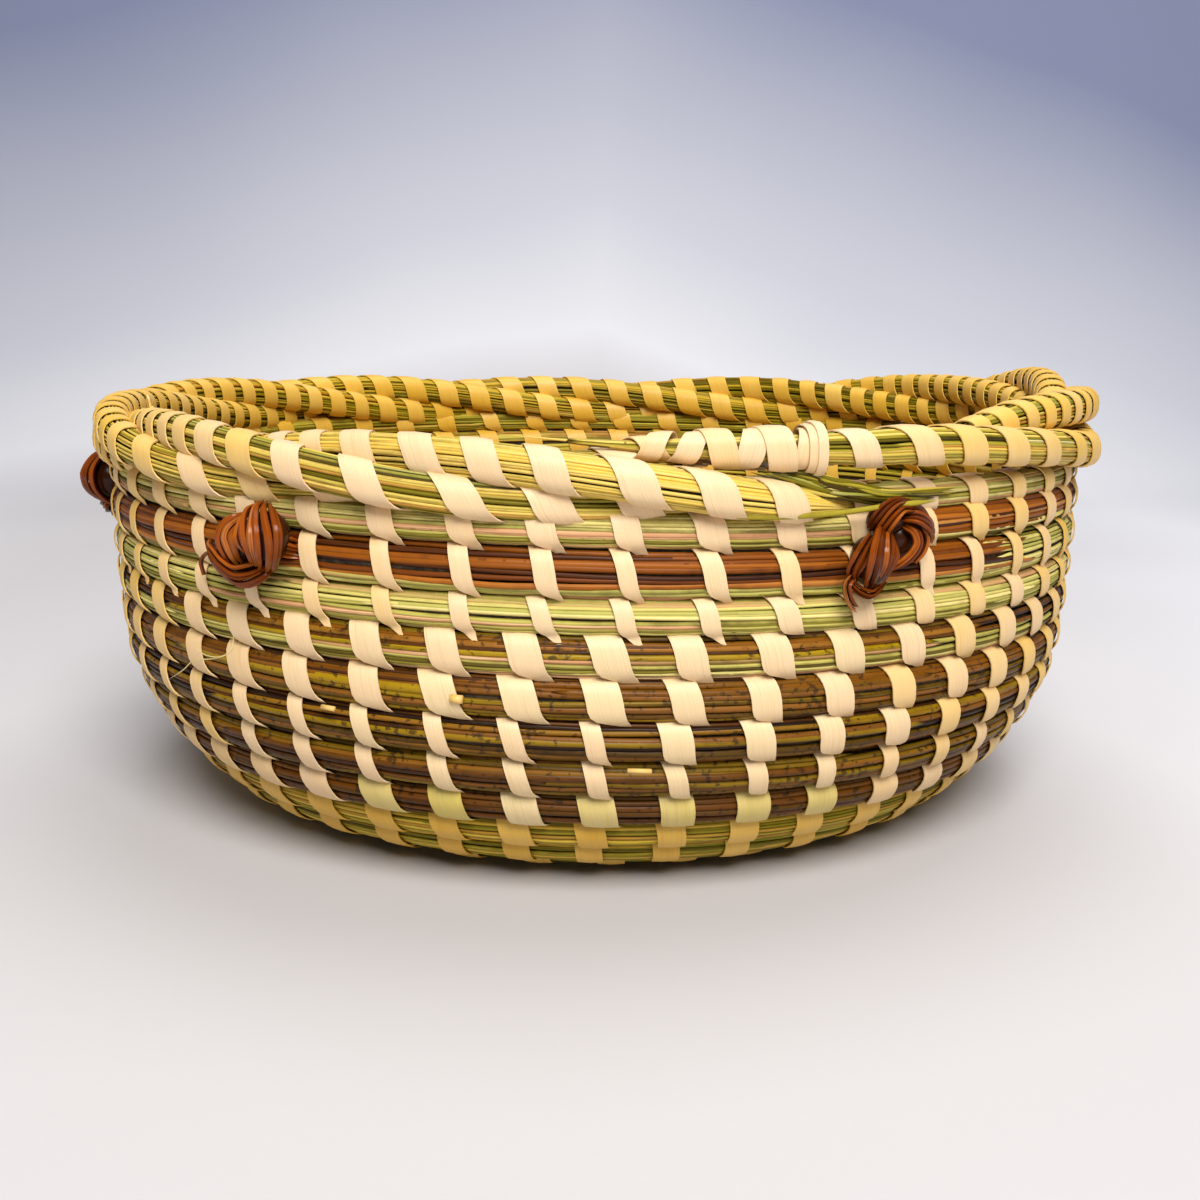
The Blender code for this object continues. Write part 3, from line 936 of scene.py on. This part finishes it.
def strand_course(first, last, crest, sizes, end_keys=None):
    """A strand's course. sizes are its half thicknesses at turns, end_keys its last turns, radii and heights."""
    turns = np.arange(first - 0.01, last + 0.02, 0.01)
    phase = math.pi / 2 + TURN * (turns - crest) / LAY
    table = np.column_stack([
        turns,
        RIM_RADIUS + TWIST * np.cos(phase),
        smooth_curve(rim_keys[:, 0], rim_keys[:, 1], turns) + TWIST * np.sin(phase),
    ])
    if end_keys is not None:
        table = np.concatenate([table[turns < end_keys[0][0] - 0.025], np.array(end_keys)])
    size_turns, size_values = np.array(sizes).T

    def centre(at):
        radius = smooth_curve(table[:, 0], table[:, 1], at) * MM
        height = smooth_curve(table[:, 0], table[:, 2], at) * MM
        return radius[..., None] * around(at) + height[..., None] * np.array((0.0, 0.0, 1.0))

    def path(at):
        at = np.asarray(at, float)
        ahead = centre(at + 0.001) - centre(at - 0.001)
        ahead /= np.linalg.norm(ahead, axis=-1, keepdims=True)
        out = around(at)
        out = out - (out * ahead).sum(axis=-1, keepdims=True) * ahead
        out /= np.linalg.norm(out, axis=-1, keepdims=True)
        half = np.interp(at, size_turns, size_values) * MM
        return Path(centre(at), out, np.cross(ahead, out), half, half)

    return Course(path, first, last, 1 / 480)


STRANDS = {
    "rim_strand_a": strand_course(
        19.930, 20.885, FIRST_CREST, [(19.93, 1.2), (19.95, 4.4), (19.97, 4.7), (20.86, 4.6), (20.885, 3)]
    ),
    "rim_strand_b": strand_course(
        19.942, 21.006, FIRST_CREST + LAY / 3,
        [(19.94, 3), (19.97, 4.6), (20.925, 4.5), (20.95, 3.3), (20.975, 2.4), (20.99, 1.2), (21.006, 0.6)], END_KEYS
    ),
    "rim_strand_c": strand_course(
        19.977, 20.806, FIRST_CREST + 2 * LAY / 3, [(19.977, 2.4), (20.0, 4.4), (20.78, 4.6), (20.806, 3)]
    ),
}
for name, course in STRANDS.items():
    end = course.lengths[-1]
    stems = lay_stems(0.0, end, 34, 0.92 * MM, ALL_ONE, overlap=0.5 * MM, lengths=(0.2, 0.6))
    for stem in stems:
        if name == "rim_strand_a" and stem.places[0] < 5 * MM:
            stem.tone = chance.uniform(0.44, 0.78)
        stem.places = np.clip(stem.places, 0, end)
    strand = stem_tubes(name + "_stems", stems, course.along, (rim_grass,))
    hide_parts(name)
    core = filling(name + "_filling", np.linspace(0, end, round(end / (2 * RING_STEP))), course.along, 0.7)
    print(name, f"{end:.2f} m long")

# %% [markdown]
# ## Wraps round the strands
#
# The strip that sews the rim goes round each strand as a spiral. It climbs the outside with a slant and comes
# down the inside, so each wrap is one loop of the spiral. At the front the wraps lie where the photograph
# shows them, and elsewhere about a centimetre apart.

# %% Wraps
FRONT_WRAPS = {
    "rim_strand_a": (19.952, 19.970, 19.989, 20.009, 20.025, 20.041, 20.059, 20.074),
    "rim_strand_b": (19.966, 19.989, 20.010, 20.031, 20.055, 20.076, 20.092, 20.106, 20.119, 20.130),
    "rim_strand_c": (19.990, 20.011, 20.030, 20.050, 20.070, 20.092, 20.113, 20.135, 20.155),
}
LAST_WRAPS = {
    "rim_strand_a": 20.880,
    "rim_strand_b": 20.812,
    "rim_strand_c": 20.795,
}
END_WRAPS = {"rim_strand_b": (20.838, 20.861, 20.880, 20.898, 20.914, 20.932, 20.945)}
WRAP_TURNS = (20.0, 20.12, 20.28, 20.36, 20.44, 20.54, 20.60, 20.66, 20.76, 20.86, 20.90, 21.1)
WRAP_SPACINGS = (13, 9.6, 9.6, 11.5, 14.5, 15, 12.5, 9.6, 9.2, 10.5, 13, 13)


def wrap_turns(name):
    turns = list(FRONT_WRAPS[name])
    while turns[-1] < LAST_WRAPS[name]:
        spacing = np.interp(turns[-1], WRAP_TURNS, WRAP_SPACINGS)
        turns.append(turns[-1] + spacing * chance.uniform(0.94, 1.06) / (TURN * RIM_RADIUS))
    return turns + list(END_WRAPS.get(name, ()))


def wound_strip(course, turn, width, advance, first=-105, sweep=360, lift=0.0, template=None):
    """A strip round a strand. It starts at an angle and moves along the strand by advance as it goes round."""
    along, across, high = (loop_points if template is None else template).T
    angle = np.radians(first + sweep * along)
    middle = -first / sweep
    place = course.length_at(turn) + advance * (along - middle) + across * width / 2
    crown = lift + STRIP_THICKNESS * (high + 0.6 * (1 - across**2))
    return course.along(place).at(angle, crown)


def painted_side_shade(turn):
    """Painted shade: strips paler at the front, golden towards the sides and back, where less light falls."""
    away = abs((turn + 0.5) % 1 - 0.5) * 360
    return float(np.interp(away, (15, 62, 180), (0.45, 0.82, 0.94)))


for name, course in STRANDS.items():
    pieces = []
    turns = wrap_turns(name)
    for turn, following in zip(turns, turns[1:]):
        advance = course.length_at(following) - course.length_at(turn)
        width = float(np.interp(advance, (9 * MM, 13 * MM, 16 * MM), (5.4 * MM, 7.8 * MM, 8.6 * MM))) * chance.uniform(0.92, 1.08)
        pieces.append((wound_strip(course, turn, width, advance), painted_side_shade(turn) + chance.normal(0, 0.05)))
    strips_object(name + "_wraps", loop_points, loop_faces, pieces)
    print(name, len(pieces), "wraps")

# %% [markdown]
# The thin end of the second strand is bound down with a strip that crosses over itself: one set of loops
# slants to the left, a second set on top of it slants to the right, and a rolled ring closes the binding.

# %% The binding
end_course = STRANDS["rim_strand_b"]
pieces = []
for turn, advance, width, lift in (
    (20.9850, 10.0, 5.6, 0.5),
    (20.9760, -9.0, 5.8, 0.9),
    (20.9680, 8.0, 6.4, 1.5),
    (20.9610, -7.0, 6.0, 1.2),
    (20.9540, 7.0, 6.6, 1.7),
    (20.9850, -8.0, 5.2, 1.3),
    (20.9470, -6.0, 5.6, 0.9),
    (20.9455, 1.5, 3.0, 1.7),
    (20.9440, 1.8, 2.2, 2.3),
):
    bent = wound_strip(end_course, turn, width * MM, advance * MM, first=-100, lift=lift * MM)
    pieces.append((bent, chance.uniform(0.45, 0.62)))
binding = strips_object("rim_end_binding_strips", loop_points, loop_faces, pieces)
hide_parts("rim_end_binding")

# %% [markdown]
# ## Pine-needle knots
#
# A knot is a bundle of flat needles pulled through its own loop. What shows is a few bands of needles side by
# side, one over the other. Each band is given by points on its middle line, as millimetres to the right,
# outwards and up from the knot's place, with the band's half width there. The band bulges away from its
# heart, and a needle is a narrow strip along it. Dark balls fill the knot behind the needles.

# %% Knots
ROUND_KNOT = (
    (6, (6.3, -3, 2), (
        (6.1, 2.5, 10.0, 2.0), (7.5, 6.0, 9.6, 4.0), (9.7, 9.0, 7.0, 5.5), (11.0, 10.3, 4.1, 6.1),
        (10.8, 9.8, 0.8, 5.7), (9.1, 7.5, -2.2, 4.6), (5.7, 3.5, -4.3, 3.3), (4.3, 0.5, -4.0, 2.2),
    )),
    (4, (-0.2, -3, 0), (
        (1.4, 3.0, 6.8, 1.1), (0.4, 6.0, 6.2, 1.9), (-1.3, 7.5, 4.4, 3.0), (-2.0, 8.0, 2.1, 3.6),
        (-1.6, 7.5, -0.8, 3.6), (-1.2, 6.0, -3.4, 2.8), (-0.7, 3.5, -5.2, 1.8),
    )),
    (5, (0.4, -3, -1), (
        (-12.9, 1.0, -1.0, 0.9), (-11.1, 3.4, -2.4, 2.0), (-7.7, 5.2, -4.2, 3.0), (-3.4, 6.2, -6.2, 3.2),
        (1.0, 6.5, -7.4, 3.1), (4.9, 6.0, -6.6, 2.9), (7.6, 4.5, -4.9, 2.2), (7.1, 2.0, -3.5, 1.3),
    )),
    (6, (7.8, -6, 0), (
        (9.9, 3.6, 1.7, 3.3), (11.8, 1.6, 0.8, 3.3), (12.6, -0.6, 0.0, 3.0), (14.0, -2.2, -0.6, 2.4),
    )),
    (1, (-12.6, -3, -2), (
        (-7.0, 5.5, -1.9, 0.3), (-12.5, 3.5, -3.2, 0.4), (-16.1, 2.0, -5.9, 0.4), (-16.2, 1, -9.2, 0.3),
    )),
)
ROUND_HEARTS = (
    ((7.7, 3.2, 2.6), (5.6, 5.9, 6.2)),
    ((-2.4, 2.4, -0.8), (6.0, 4.8, 5.6)),
    ((-0.6, 2.0, -4.6), (6.5, 3.6, 2.6)),
)
LONG_KNOT = (
    (5, (2, -3, 3), (
        (-2.6, 2.5, 4.6, 2.4), (-3.5, 6.0, 7.6, 2.8), (-2.4, 7.5, 10.2, 2.7), (0.2, 7.0, 11.5, 2.2),
        (3.9, 5.5, 11.2, 1.7), (7.9, 4.5, 9.8, 1.3), (11.2, 3.0, 7.7, 1.1), (13.6, 1.0, 5.4, 0.8),
    )),
    (3, (5, -3, 3), (
        (3.5, 4.6, 8.0, 1.0), (5.5, 7.0, 8.4, 1.5), (8.8, 6.5, 7.0, 1.6), (11.9, 4.5, 4.6, 1.4), (13.2, 2.0, 2.2, 1.0),
    )),
    (2, (5, -3, 2), ((9.1, 4.0, 5.6, 0.7), (10.5, 4.5, 3.2, 1.0), (10.1, 4.0, 0.1, 1.0), (8.7, 2.6, -2.4, 0.6))),
    (3, (1, -3, 2), (
        (4.0, 4.4, 6.0, 0.9), (5.5, 6.5, 4.9, 1.4), (6.2, 7.0, 2.7, 1.8), (5.1, 6.5, -0.1, 1.8),
        (2.8, 5.5, -2.2, 1.5), (0.8, 3.6, -3.6, 1.0),
    )),
    (3, (-3, -3, -1), (
        (-4.6, 4.4, 4.6, 1.0), (-8.0, 6.4, 1.9, 1.6), (-9.4, 6.2, -0.8, 1.9), (-9.8, 4.6, -3.6, 1.5), (-8.6, 3.0, -6.0, 0.9),
    )),
    (5, (-4.5, -3, -1.5), (
        (-0.6, 4.0, 5.6, 2.4), (-3.2, 8.0, 4.0, 3.8), (-4.8, 10.0, 1.5, 4.4), (-5.1, 9.6, -1.5, 4.2),
        (-4.7, 7.2, -4.8, 3.3), (-3.8, 3.8, -7.7, 2.2), (-3.6, 1.0, -8.0, 1.6),
    )),
    (3, (-4, -3, -4), (
        (-9.8, 3.2, -5.4, 0.7), (-8.0, 4.6, -7.8, 1.1), (-5.5, 5.2, -8.9, 1.2), (-2.7, 4.4, -8.0, 1.0), (0.4, 2.4, -6.6, 0.7),
    )),
    (2, (-10, -6, -8), (
        (-9.6, 3.8, -4.8, 0.7), (-11.4, 4.2, -6.4, 0.8), (-10.6, 3.6, -9.2, 0.85), (-8.1, 2.6, -12.1, 0.8), (-6.3, 1.6, -13, 0.6),
    )),
)
LONG_HEARTS = (
    ((-4.4, 3.4, -1.6), (4.2, 5.6, 6.0)),
    ((1.0, 2.0, 7.6), (5.4, 3.6, 3.6)),
    ((6.6, 1.6, 2.8), (5.6, 3.6, 5.0)),
)
PALM_KNOT = (
    (1, (0, 3, 0), ((-0.6, -3.2, 7.4, 1.6), (-0.4, -3.8, 3.4, 1.7), (0.6, -4.2, 0.0, 1.7), (0.4, -3.4, -3.4, 1.6))),
    (1, (0, 3, 0), ((-4.2, -2.6, -2.4, 1.5), (-1.6, -4.6, 0.2, 1.7), (1.6, -4.8, 2.2, 1.7), (4.2, -3.0, 3.6, 1.4))),
    (1, (0, 3, 0), ((-2.6, -3.0, 2.6, 1.4), (0.2, -5.0, 0.4, 1.6), (2.2, -4.4, -2.8, 1.6), (3.6, -2.6, -6.0, 1.2))),
)
PALM_HEARTS = (((0.0, -1.4, -0.4), (3.2, 2.4, 3.6)),)
START_KNOT = (
    (5, (0, 0, 3), ((1.5, -6.5, 6.0, 1.4), (0.9, -3.6, 8.6, 2.2), (0, 0, 9.3, 2.6), (-0.9, 3.6, 8.6, 2.2), (-1.5, 6.5, 6, 1.4))),
    (6, (0, 0, 3), ((-6.5, -1.6, 6.4, 1.5), (-3.8, -0.9, 9.2, 2.4), (0, 0, 10.2, 2.9), (3.8, 0.9, 9.2, 2.4), (6.5, 1.6, 6.4, 1.5))),
    (6, (0, 0, 7), ((-6.5, 1.6, 3.0, 1.5), (-3.8, 0.9, 1.2, 2.4), (0, 0, 0.8, 2.9), (3.8, -0.9, 1.2, 2.4), (6.5, -1.6, 3.0, 1.5))),
)
START_HEARTS = (((0, 0, 5.2), (5.6, 5.6, 3.6)),)
needle_strip = flat_strip(26, "needle_strip")
needle_points, needle_faces = template_of(needle_strip)
bpy.data.objects.remove(needle_strip)
BAND_CURL = 0.75
NEEDLE_THICKNESS = 0.5


def unit(rows):
    return rows / np.linalg.norm(rows, axis=1, keepdims=True)


def band_needles(band, place, tones):
    """The needles of one band, each bent from the flat strip. place turns millimetres into a point."""
    count, heart, keys = band
    keys = np.array(keys, float)
    steps = np.concatenate([[0], np.cumsum(np.linalg.norm(np.diff(keys[:, :3], axis=0), axis=1))])
    at = np.linspace(0, steps[-1], 40)
    middle = np.column_stack([smooth_curve(steps, keys[:, axis], at) for axis in range(3)])
    half = smooth_curve(steps, keys[:, 3], at)
    ahead = unit(np.gradient(middle, axis=0))
    side = unit(np.cross(ahead, middle - np.array(heart)))
    away = np.cross(side, ahead)
    along, across, high = needle_points.T
    pieces = []
    for i in range(count):
        share = (2 * i + 1 - count) / count
        share = share + wander(at[-1], 8.0, 0.16 / count)(at) + wander(at[-1], 20.0, 0.2 / count)(at)
        tilt = np.arctan(BAND_CURL * share)
        lift = wander(at[-1], 6.0, 0.12)(at) + chance.uniform(-0.4, 0.25) - 0.5 * BAND_CURL * half * share**2
        centre = middle + (half * share)[:, None] * side + lift[:, None] * away
        edge = np.cos(tilt)[:, None] * side - np.sin(tilt)[:, None] * away
        face = np.cos(tilt)[:, None] * away + np.sin(tilt)[:, None] * side
        wide = half / count * chance.uniform(0.9, 1.2) * np.minimum(1, 0.35 + np.minimum(at, at[-1] - at))
        rows = np.interp(along * at[-1], at, np.arange(len(at)))
        low = np.minimum(rows.astype(int), len(at) - 2)
        part = rows - low

        def read(values):
            values = np.asarray(values)
            weight = part[:, None] if values.ndim == 2 else part
            return values[low] * (1 - weight) + values[low + 1] * weight

        crown = NEEDLE_THICKNESS * (high + 1.1 * (1 - across**2))
        points = read(centre) + (across * read(wide))[:, None] * read(edge) + crown[:, None] * read(face)
        pieces.append((place(points), chance.uniform(*tones)))
    return pieces


def knot_place(degrees, radius, height):
    angle = math.radians(degrees)
    right = np.array((math.cos(angle), math.sin(angle), 0))
    out = np.array((math.sin(angle), -math.cos(angle), 0))
    centre = radius * MM * out + np.array((0, 0, height * MM))
    up = np.array((0, 0, 1.0))
    return lambda points: centre + MM * (points[:, :1] * right + points[:, 1:2] * out + points[:, 2:] * up)


def knot_hearts(name, hearts, place, material):
    """Dark balls that fill a knot behind its needles."""
    made = []
    for middle, halves in hearts:
        deselect()
        bpy.ops.mesh.primitive_uv_sphere_add(segments=20, ring_count=12, radius=1)
        ball = bpy.context.object
        points = np.empty(len(ball.data.vertices) * 3)
        ball.data.vertices.foreach_get("co", points)
        points = place(points.reshape(-1, 3) * np.array(halves) + np.array(middle))
        ball.data.vertices.foreach_set("co", points.ravel())
        ball.data.update()
        ball.data.shade_smooth()
        made.append(ball)
    deselect()
    for ball in made:
        ball.select_set(True)
    bpy.context.view_layer.objects.active = made[0]
    if len(made) > 1:
        bpy.ops.object.join()
    filled = bpy.context.object
    filled.name = name
    bpy.ops.object.mode_set(mode="EDIT")
    bpy.ops.mesh.select_all(action="SELECT")
    bpy.ops.mesh.normals_make_consistent(inside=False)
    bpy.ops.object.mode_set(mode="OBJECT")
    filled.data.materials.append(material)
    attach(filled, "root")


for node, bands, hearts, degrees, radius, height in (
    ("pine_needle_knot_front_left", ROUND_KNOT, ROUND_HEARTS, -33.6, 145.6, 88.2),
    ("pine_needle_knot_front_right", LONG_KNOT, LONG_HEARTS, 27.2, 145.6, 89.4),
    ("pine_needle_knot_left", ROUND_KNOT, ROUND_HEARTS, -87, 145.6, 89.0),
):
    place = knot_place(degrees, radius, height)
    pieces = [piece for band in bands for piece in band_needles(band, place, (0.3, 0.95))]
    knot = strips_object(node + "_needles", needle_points, needle_faces, pieces, knot_pine)
    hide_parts(node)
    knot_hearts(node + "_filling", hearts, place, knot_pine)
    print(knot.name, len(pieces), "needles")



def start_place(points):
    """Puts the crossing of the start knot in the hole that the coil's first lap leaves."""
    return MM * (points * np.array((1.5, 1.5, 1.0)) + np.array((-1.0, 0.6, 0.3)))


pieces = [piece for band in START_KNOT for piece in band_needles(band, start_place, (0.15, 0.85))]
strips_object("start_knot_crossing", needle_points, needle_faces, pieces, sweetgrass)
# Painted shade: a dark ball in the hole behind the start knot's crossing.
knot_hearts("start_knot_heart", START_HEARTS, start_place, painted_shade_filling)

place = knot_place(-60.5, 141.5, 112.5)
pieces = [piece for band in PALM_KNOT for piece in band_needles(band, place, (0.7, 0.8))]
strips_object("inner_palm_knot", needle_points, needle_faces, pieces)
# Painted shade: a dark ball behind the palm knot's strips.
knot_hearts("inner_palm_knot_filling", PALM_HEARTS, place, painted_shade_filling)

# %% [markdown]
# ## Loose ends
#
# A hand-made basket has small leftovers: the blades where the last row runs out under the rim's end, cut
# stem ends between the rows, thin fibres and a knot of palm strip inside the rim.

# %% Blades and fibres
LOOSE = (
    (0.70, 0.28, (
        (11.0, 148.2, 99.3), (13.0, 148.6, 99.1), (16.7, 149.0, 98.9), (21.5, 149.4, 99.3),
        (25.7, 150.6, 100.4), (29.0, 152.6, 101.2), (31.5, 152.6, 101.4),
    )),
    (0.35, 0.66, ((8, 142.4, 113.9), (3.6, 141.3, 114.4), (-1.8, 140.7, 115.1), (-8.8, 140.4, 116.3))),
    (0.16, 0.99, (
        (-48.4, 147.0, 48.0), (-44.2, 148.0, 53.0), (-42.0, 148.0, 56.6), (-38.5, 148.2, 58.6),
        (-36.2, 148.0, 61.4), (-36.0, 147.4, 66.0),
    )),
    (0.14, 0.99, ((-42.4, 146.6, 61.5), (-41.0, 148.2, 59.4), (-38.6, 148.6, 59.0), (-37.0, 147.8, 59.8))),
)
UPPER_BLADE = (
    (18.6, 145.6, 109.6), (21.8, 147.0, 107.6), (24.6, 147.6, 105.8), (28.1, 147.8, 104.1), (32.9, 147.0, 103.2), (38, 145.4, 103.0),
)
LOWER_BLADE = (
    (12.5, 145.2, 107.6), (16.0, 146.4, 105.5), (19.6, 147.0, 103.6), (24.0, 147.2, 101.6), (28.0, 146.6, 100.2), (32.5, 145.0, 99.0),
)
blades = list(LOOSE)
for i in range(14):
    share = (i + chance.uniform(0, 1)) / 14
    keys = np.array(LOWER_BLADE) * (1 - share) + np.array(UPPER_BLADE) * share
    keys = keys + chance.normal(0, 1, keys.shape) * (0.3, 0.25, 0.35)
    blades.append((chance.uniform(0.32, 0.62), chance.choice((0.02, 0.12, 0.2, 0.3, 0.45, 0.93)), keys))
lines = []
for half, tone, keys in blades:
    keys = np.array(keys)
    steps = np.arange(len(keys), dtype=float)
    at = np.linspace(0, len(keys) - 1, 6 * len(keys))
    degrees, radius, height = (smooth_curve(steps, keys[:, axis], at) for axis in range(3))
    angle = np.radians(degrees)
    points = MM * np.column_stack([radius * np.sin(angle), -radius * np.cos(angle), height])
    radii = half * MM * np.minimum(1, np.minimum(at + 0.05, len(keys) - 0.95 - at))
    lines.append((0, points, radii, tone, at * 12 * MM))
loose = tubes("loose_blades", lines, (rim_grass,), 6)
print(len(lines), "loose blades and fibres")

# %% Cut stem ends
CUT_ENDS = ((-12.2, 144.5, 55.6, 1.5, 1.05), (4.7, 143.5, 39.5, 2.8, 0.6), (-25.5, 144.2, 50.2, 2.0, 0.65))
lines = []
for degrees, radius, height, long, half in CUT_ENDS:
    angle = math.radians(degrees)
    out = np.array((math.sin(angle), -math.cos(angle), 0))
    right = np.array((math.cos(angle), math.sin(angle), 0))
    middle = MM * (radius * out + np.array((0, 0, height)))
    at = np.array((-1.0, -0.97, 0.97, 1.0)) * long * MM
    radii = np.array((0.05, 1.0, 1.0, 0.05)) * half * MM
    lines.append((0, middle + at[:, None] * (right + 0.12 * out), radii, 0.72, at))
ends = tubes("cut_stem_ends", lines, (palm,), 8)

# %% [markdown]
# ## Floor, backdrop and light
#
# The basket stands on a pale sweep of paper that curves up behind it. A large soft light from the front and
# above lights the stems as they are written, a weaker one from above fills the inside, and a dim warm world
# lights the rest; to the camera, and through clear things, the world shows as a pale grey.

# %% Stage
SWEEP_BACK = 1.3
SWEEP_HEIGHT = 1.5


def make_sweep():
    deselect()
    bpy.ops.mesh.primitive_plane_add(size=4, location=(0, -0.7, 0))
    sweep = bpy.context.object
    sweep.name = "paper_sweep"
    pick(sweep)
    bpy.ops.object.mode_set(mode="EDIT")
    bpy.ops.mesh.select_mode(type="EDGE")
    bpy.ops.mesh.select_all(action="DESELECT")
    bpy.ops.object.mode_set(mode="OBJECT")
    for edge in sweep.data.edges:
        ends = [sweep.data.vertices[v].co.y for v in edge.vertices]
        edge.select = min(ends) > 1.9
    bpy.ops.object.mode_set(mode="EDIT")
    bpy.ops.mesh.extrude_region_move(TRANSFORM_OT_translate={"value": (0, 0, SWEEP_HEIGHT)})
    bpy.ops.object.mode_set(mode="OBJECT")
    rounding = sweep.modifiers.new("rounding", "BEVEL")
    rounding.width = 0.6
    rounding.segments = 16
    bpy.ops.object.modifier_apply(modifier="rounding")
    sweep.data.shade_smooth()
    finish = Finish("paper")
    objects = finish.node("ShaderNodeTexCoord", output=3)
    height = finish.node("ShaderNodeSeparateXYZ", output=2, Vector=objects)
    side = finish.node("ShaderNodeSeparateXYZ", output=0, Vector=objects)
    # Painted shade: the paper is brightest low on the curve, and darker and bluer higher up and far to the sides.
    painted_falloff = height * 0.9 + side.math("ABSOLUTE") * 0.26 + side * 0.06 + finish.noise(objects, 1.6) * 0.14
    gradient = finish.ramp(
        painted_falloff,
        [
            (0.05, shown(192, 189, 190)),
            (0.12, shown(194, 191, 193)),
            (0.19, shown(218, 218, 223)),
            (0.29, shown(190, 192, 202)),
            (0.46, shown(160, 163, 180)),
            (0.60, shown(120, 127, 156)),
        ],
    )
    finish.surface(Base_Color=gradient, Roughness=0.8)
    sweep.data.materials.append(finish.material)
    return sweep


sweep = make_sweep()


def softbox(name, place, target, size, power, colour=(1, 1, 1)):
    bpy.ops.object.light_add(type="AREA", location=place)
    lamp = bpy.context.object
    lamp.name = name
    lamp.data.shape = "DISK"
    lamp.data.size = size
    lamp.data.energy = power
    lamp.data.color = colour
    lamp.rotation_euler = (Vector(target) - Vector(place)).to_track_quat("-Z", "Y").to_euler()
    return lamp


softbox("key", (0.22, -1.7, 1.7), (0, 0, 0.05), 1.3, 75)
softbox("top", (0.2, 0.3, 1.6), (0, 0, 0), 1.2, 13)
world = bpy.data.worlds.new("studio")
bpy.context.scene.world = world
world.use_nodes = True
tree = world.node_tree
glow = tree.nodes["Background"]
glow.inputs["Color"].default_value = (1.0, 0.9, 0.7, 1)
glow.inputs["Strength"].default_value = 0.2
seen = tree.nodes.new("ShaderNodeBackground")
seen.inputs["Color"].default_value = (*shown(196, 199, 210), 1)
rays = tree.nodes.new("ShaderNodeLightPath")
either = tree.nodes.new("ShaderNodeMath")
either.operation = "MAXIMUM"
tree.links.new(rays.outputs["Is Camera Ray"], either.inputs[0])
tree.links.new(rays.outputs["Is Transmission Ray"], either.inputs[1])
blend = tree.nodes.new("ShaderNodeMixShader")
tree.links.new(either.outputs[0], blend.inputs[0])
tree.links.new(glow.outputs[0], blend.inputs[1])
tree.links.new(seen.outputs[0], blend.inputs[2])
tree.links.new(blend.outputs[0], tree.nodes["World Output"].inputs["Surface"])
bpy.context.scene.view_settings.view_transform = "Standard"
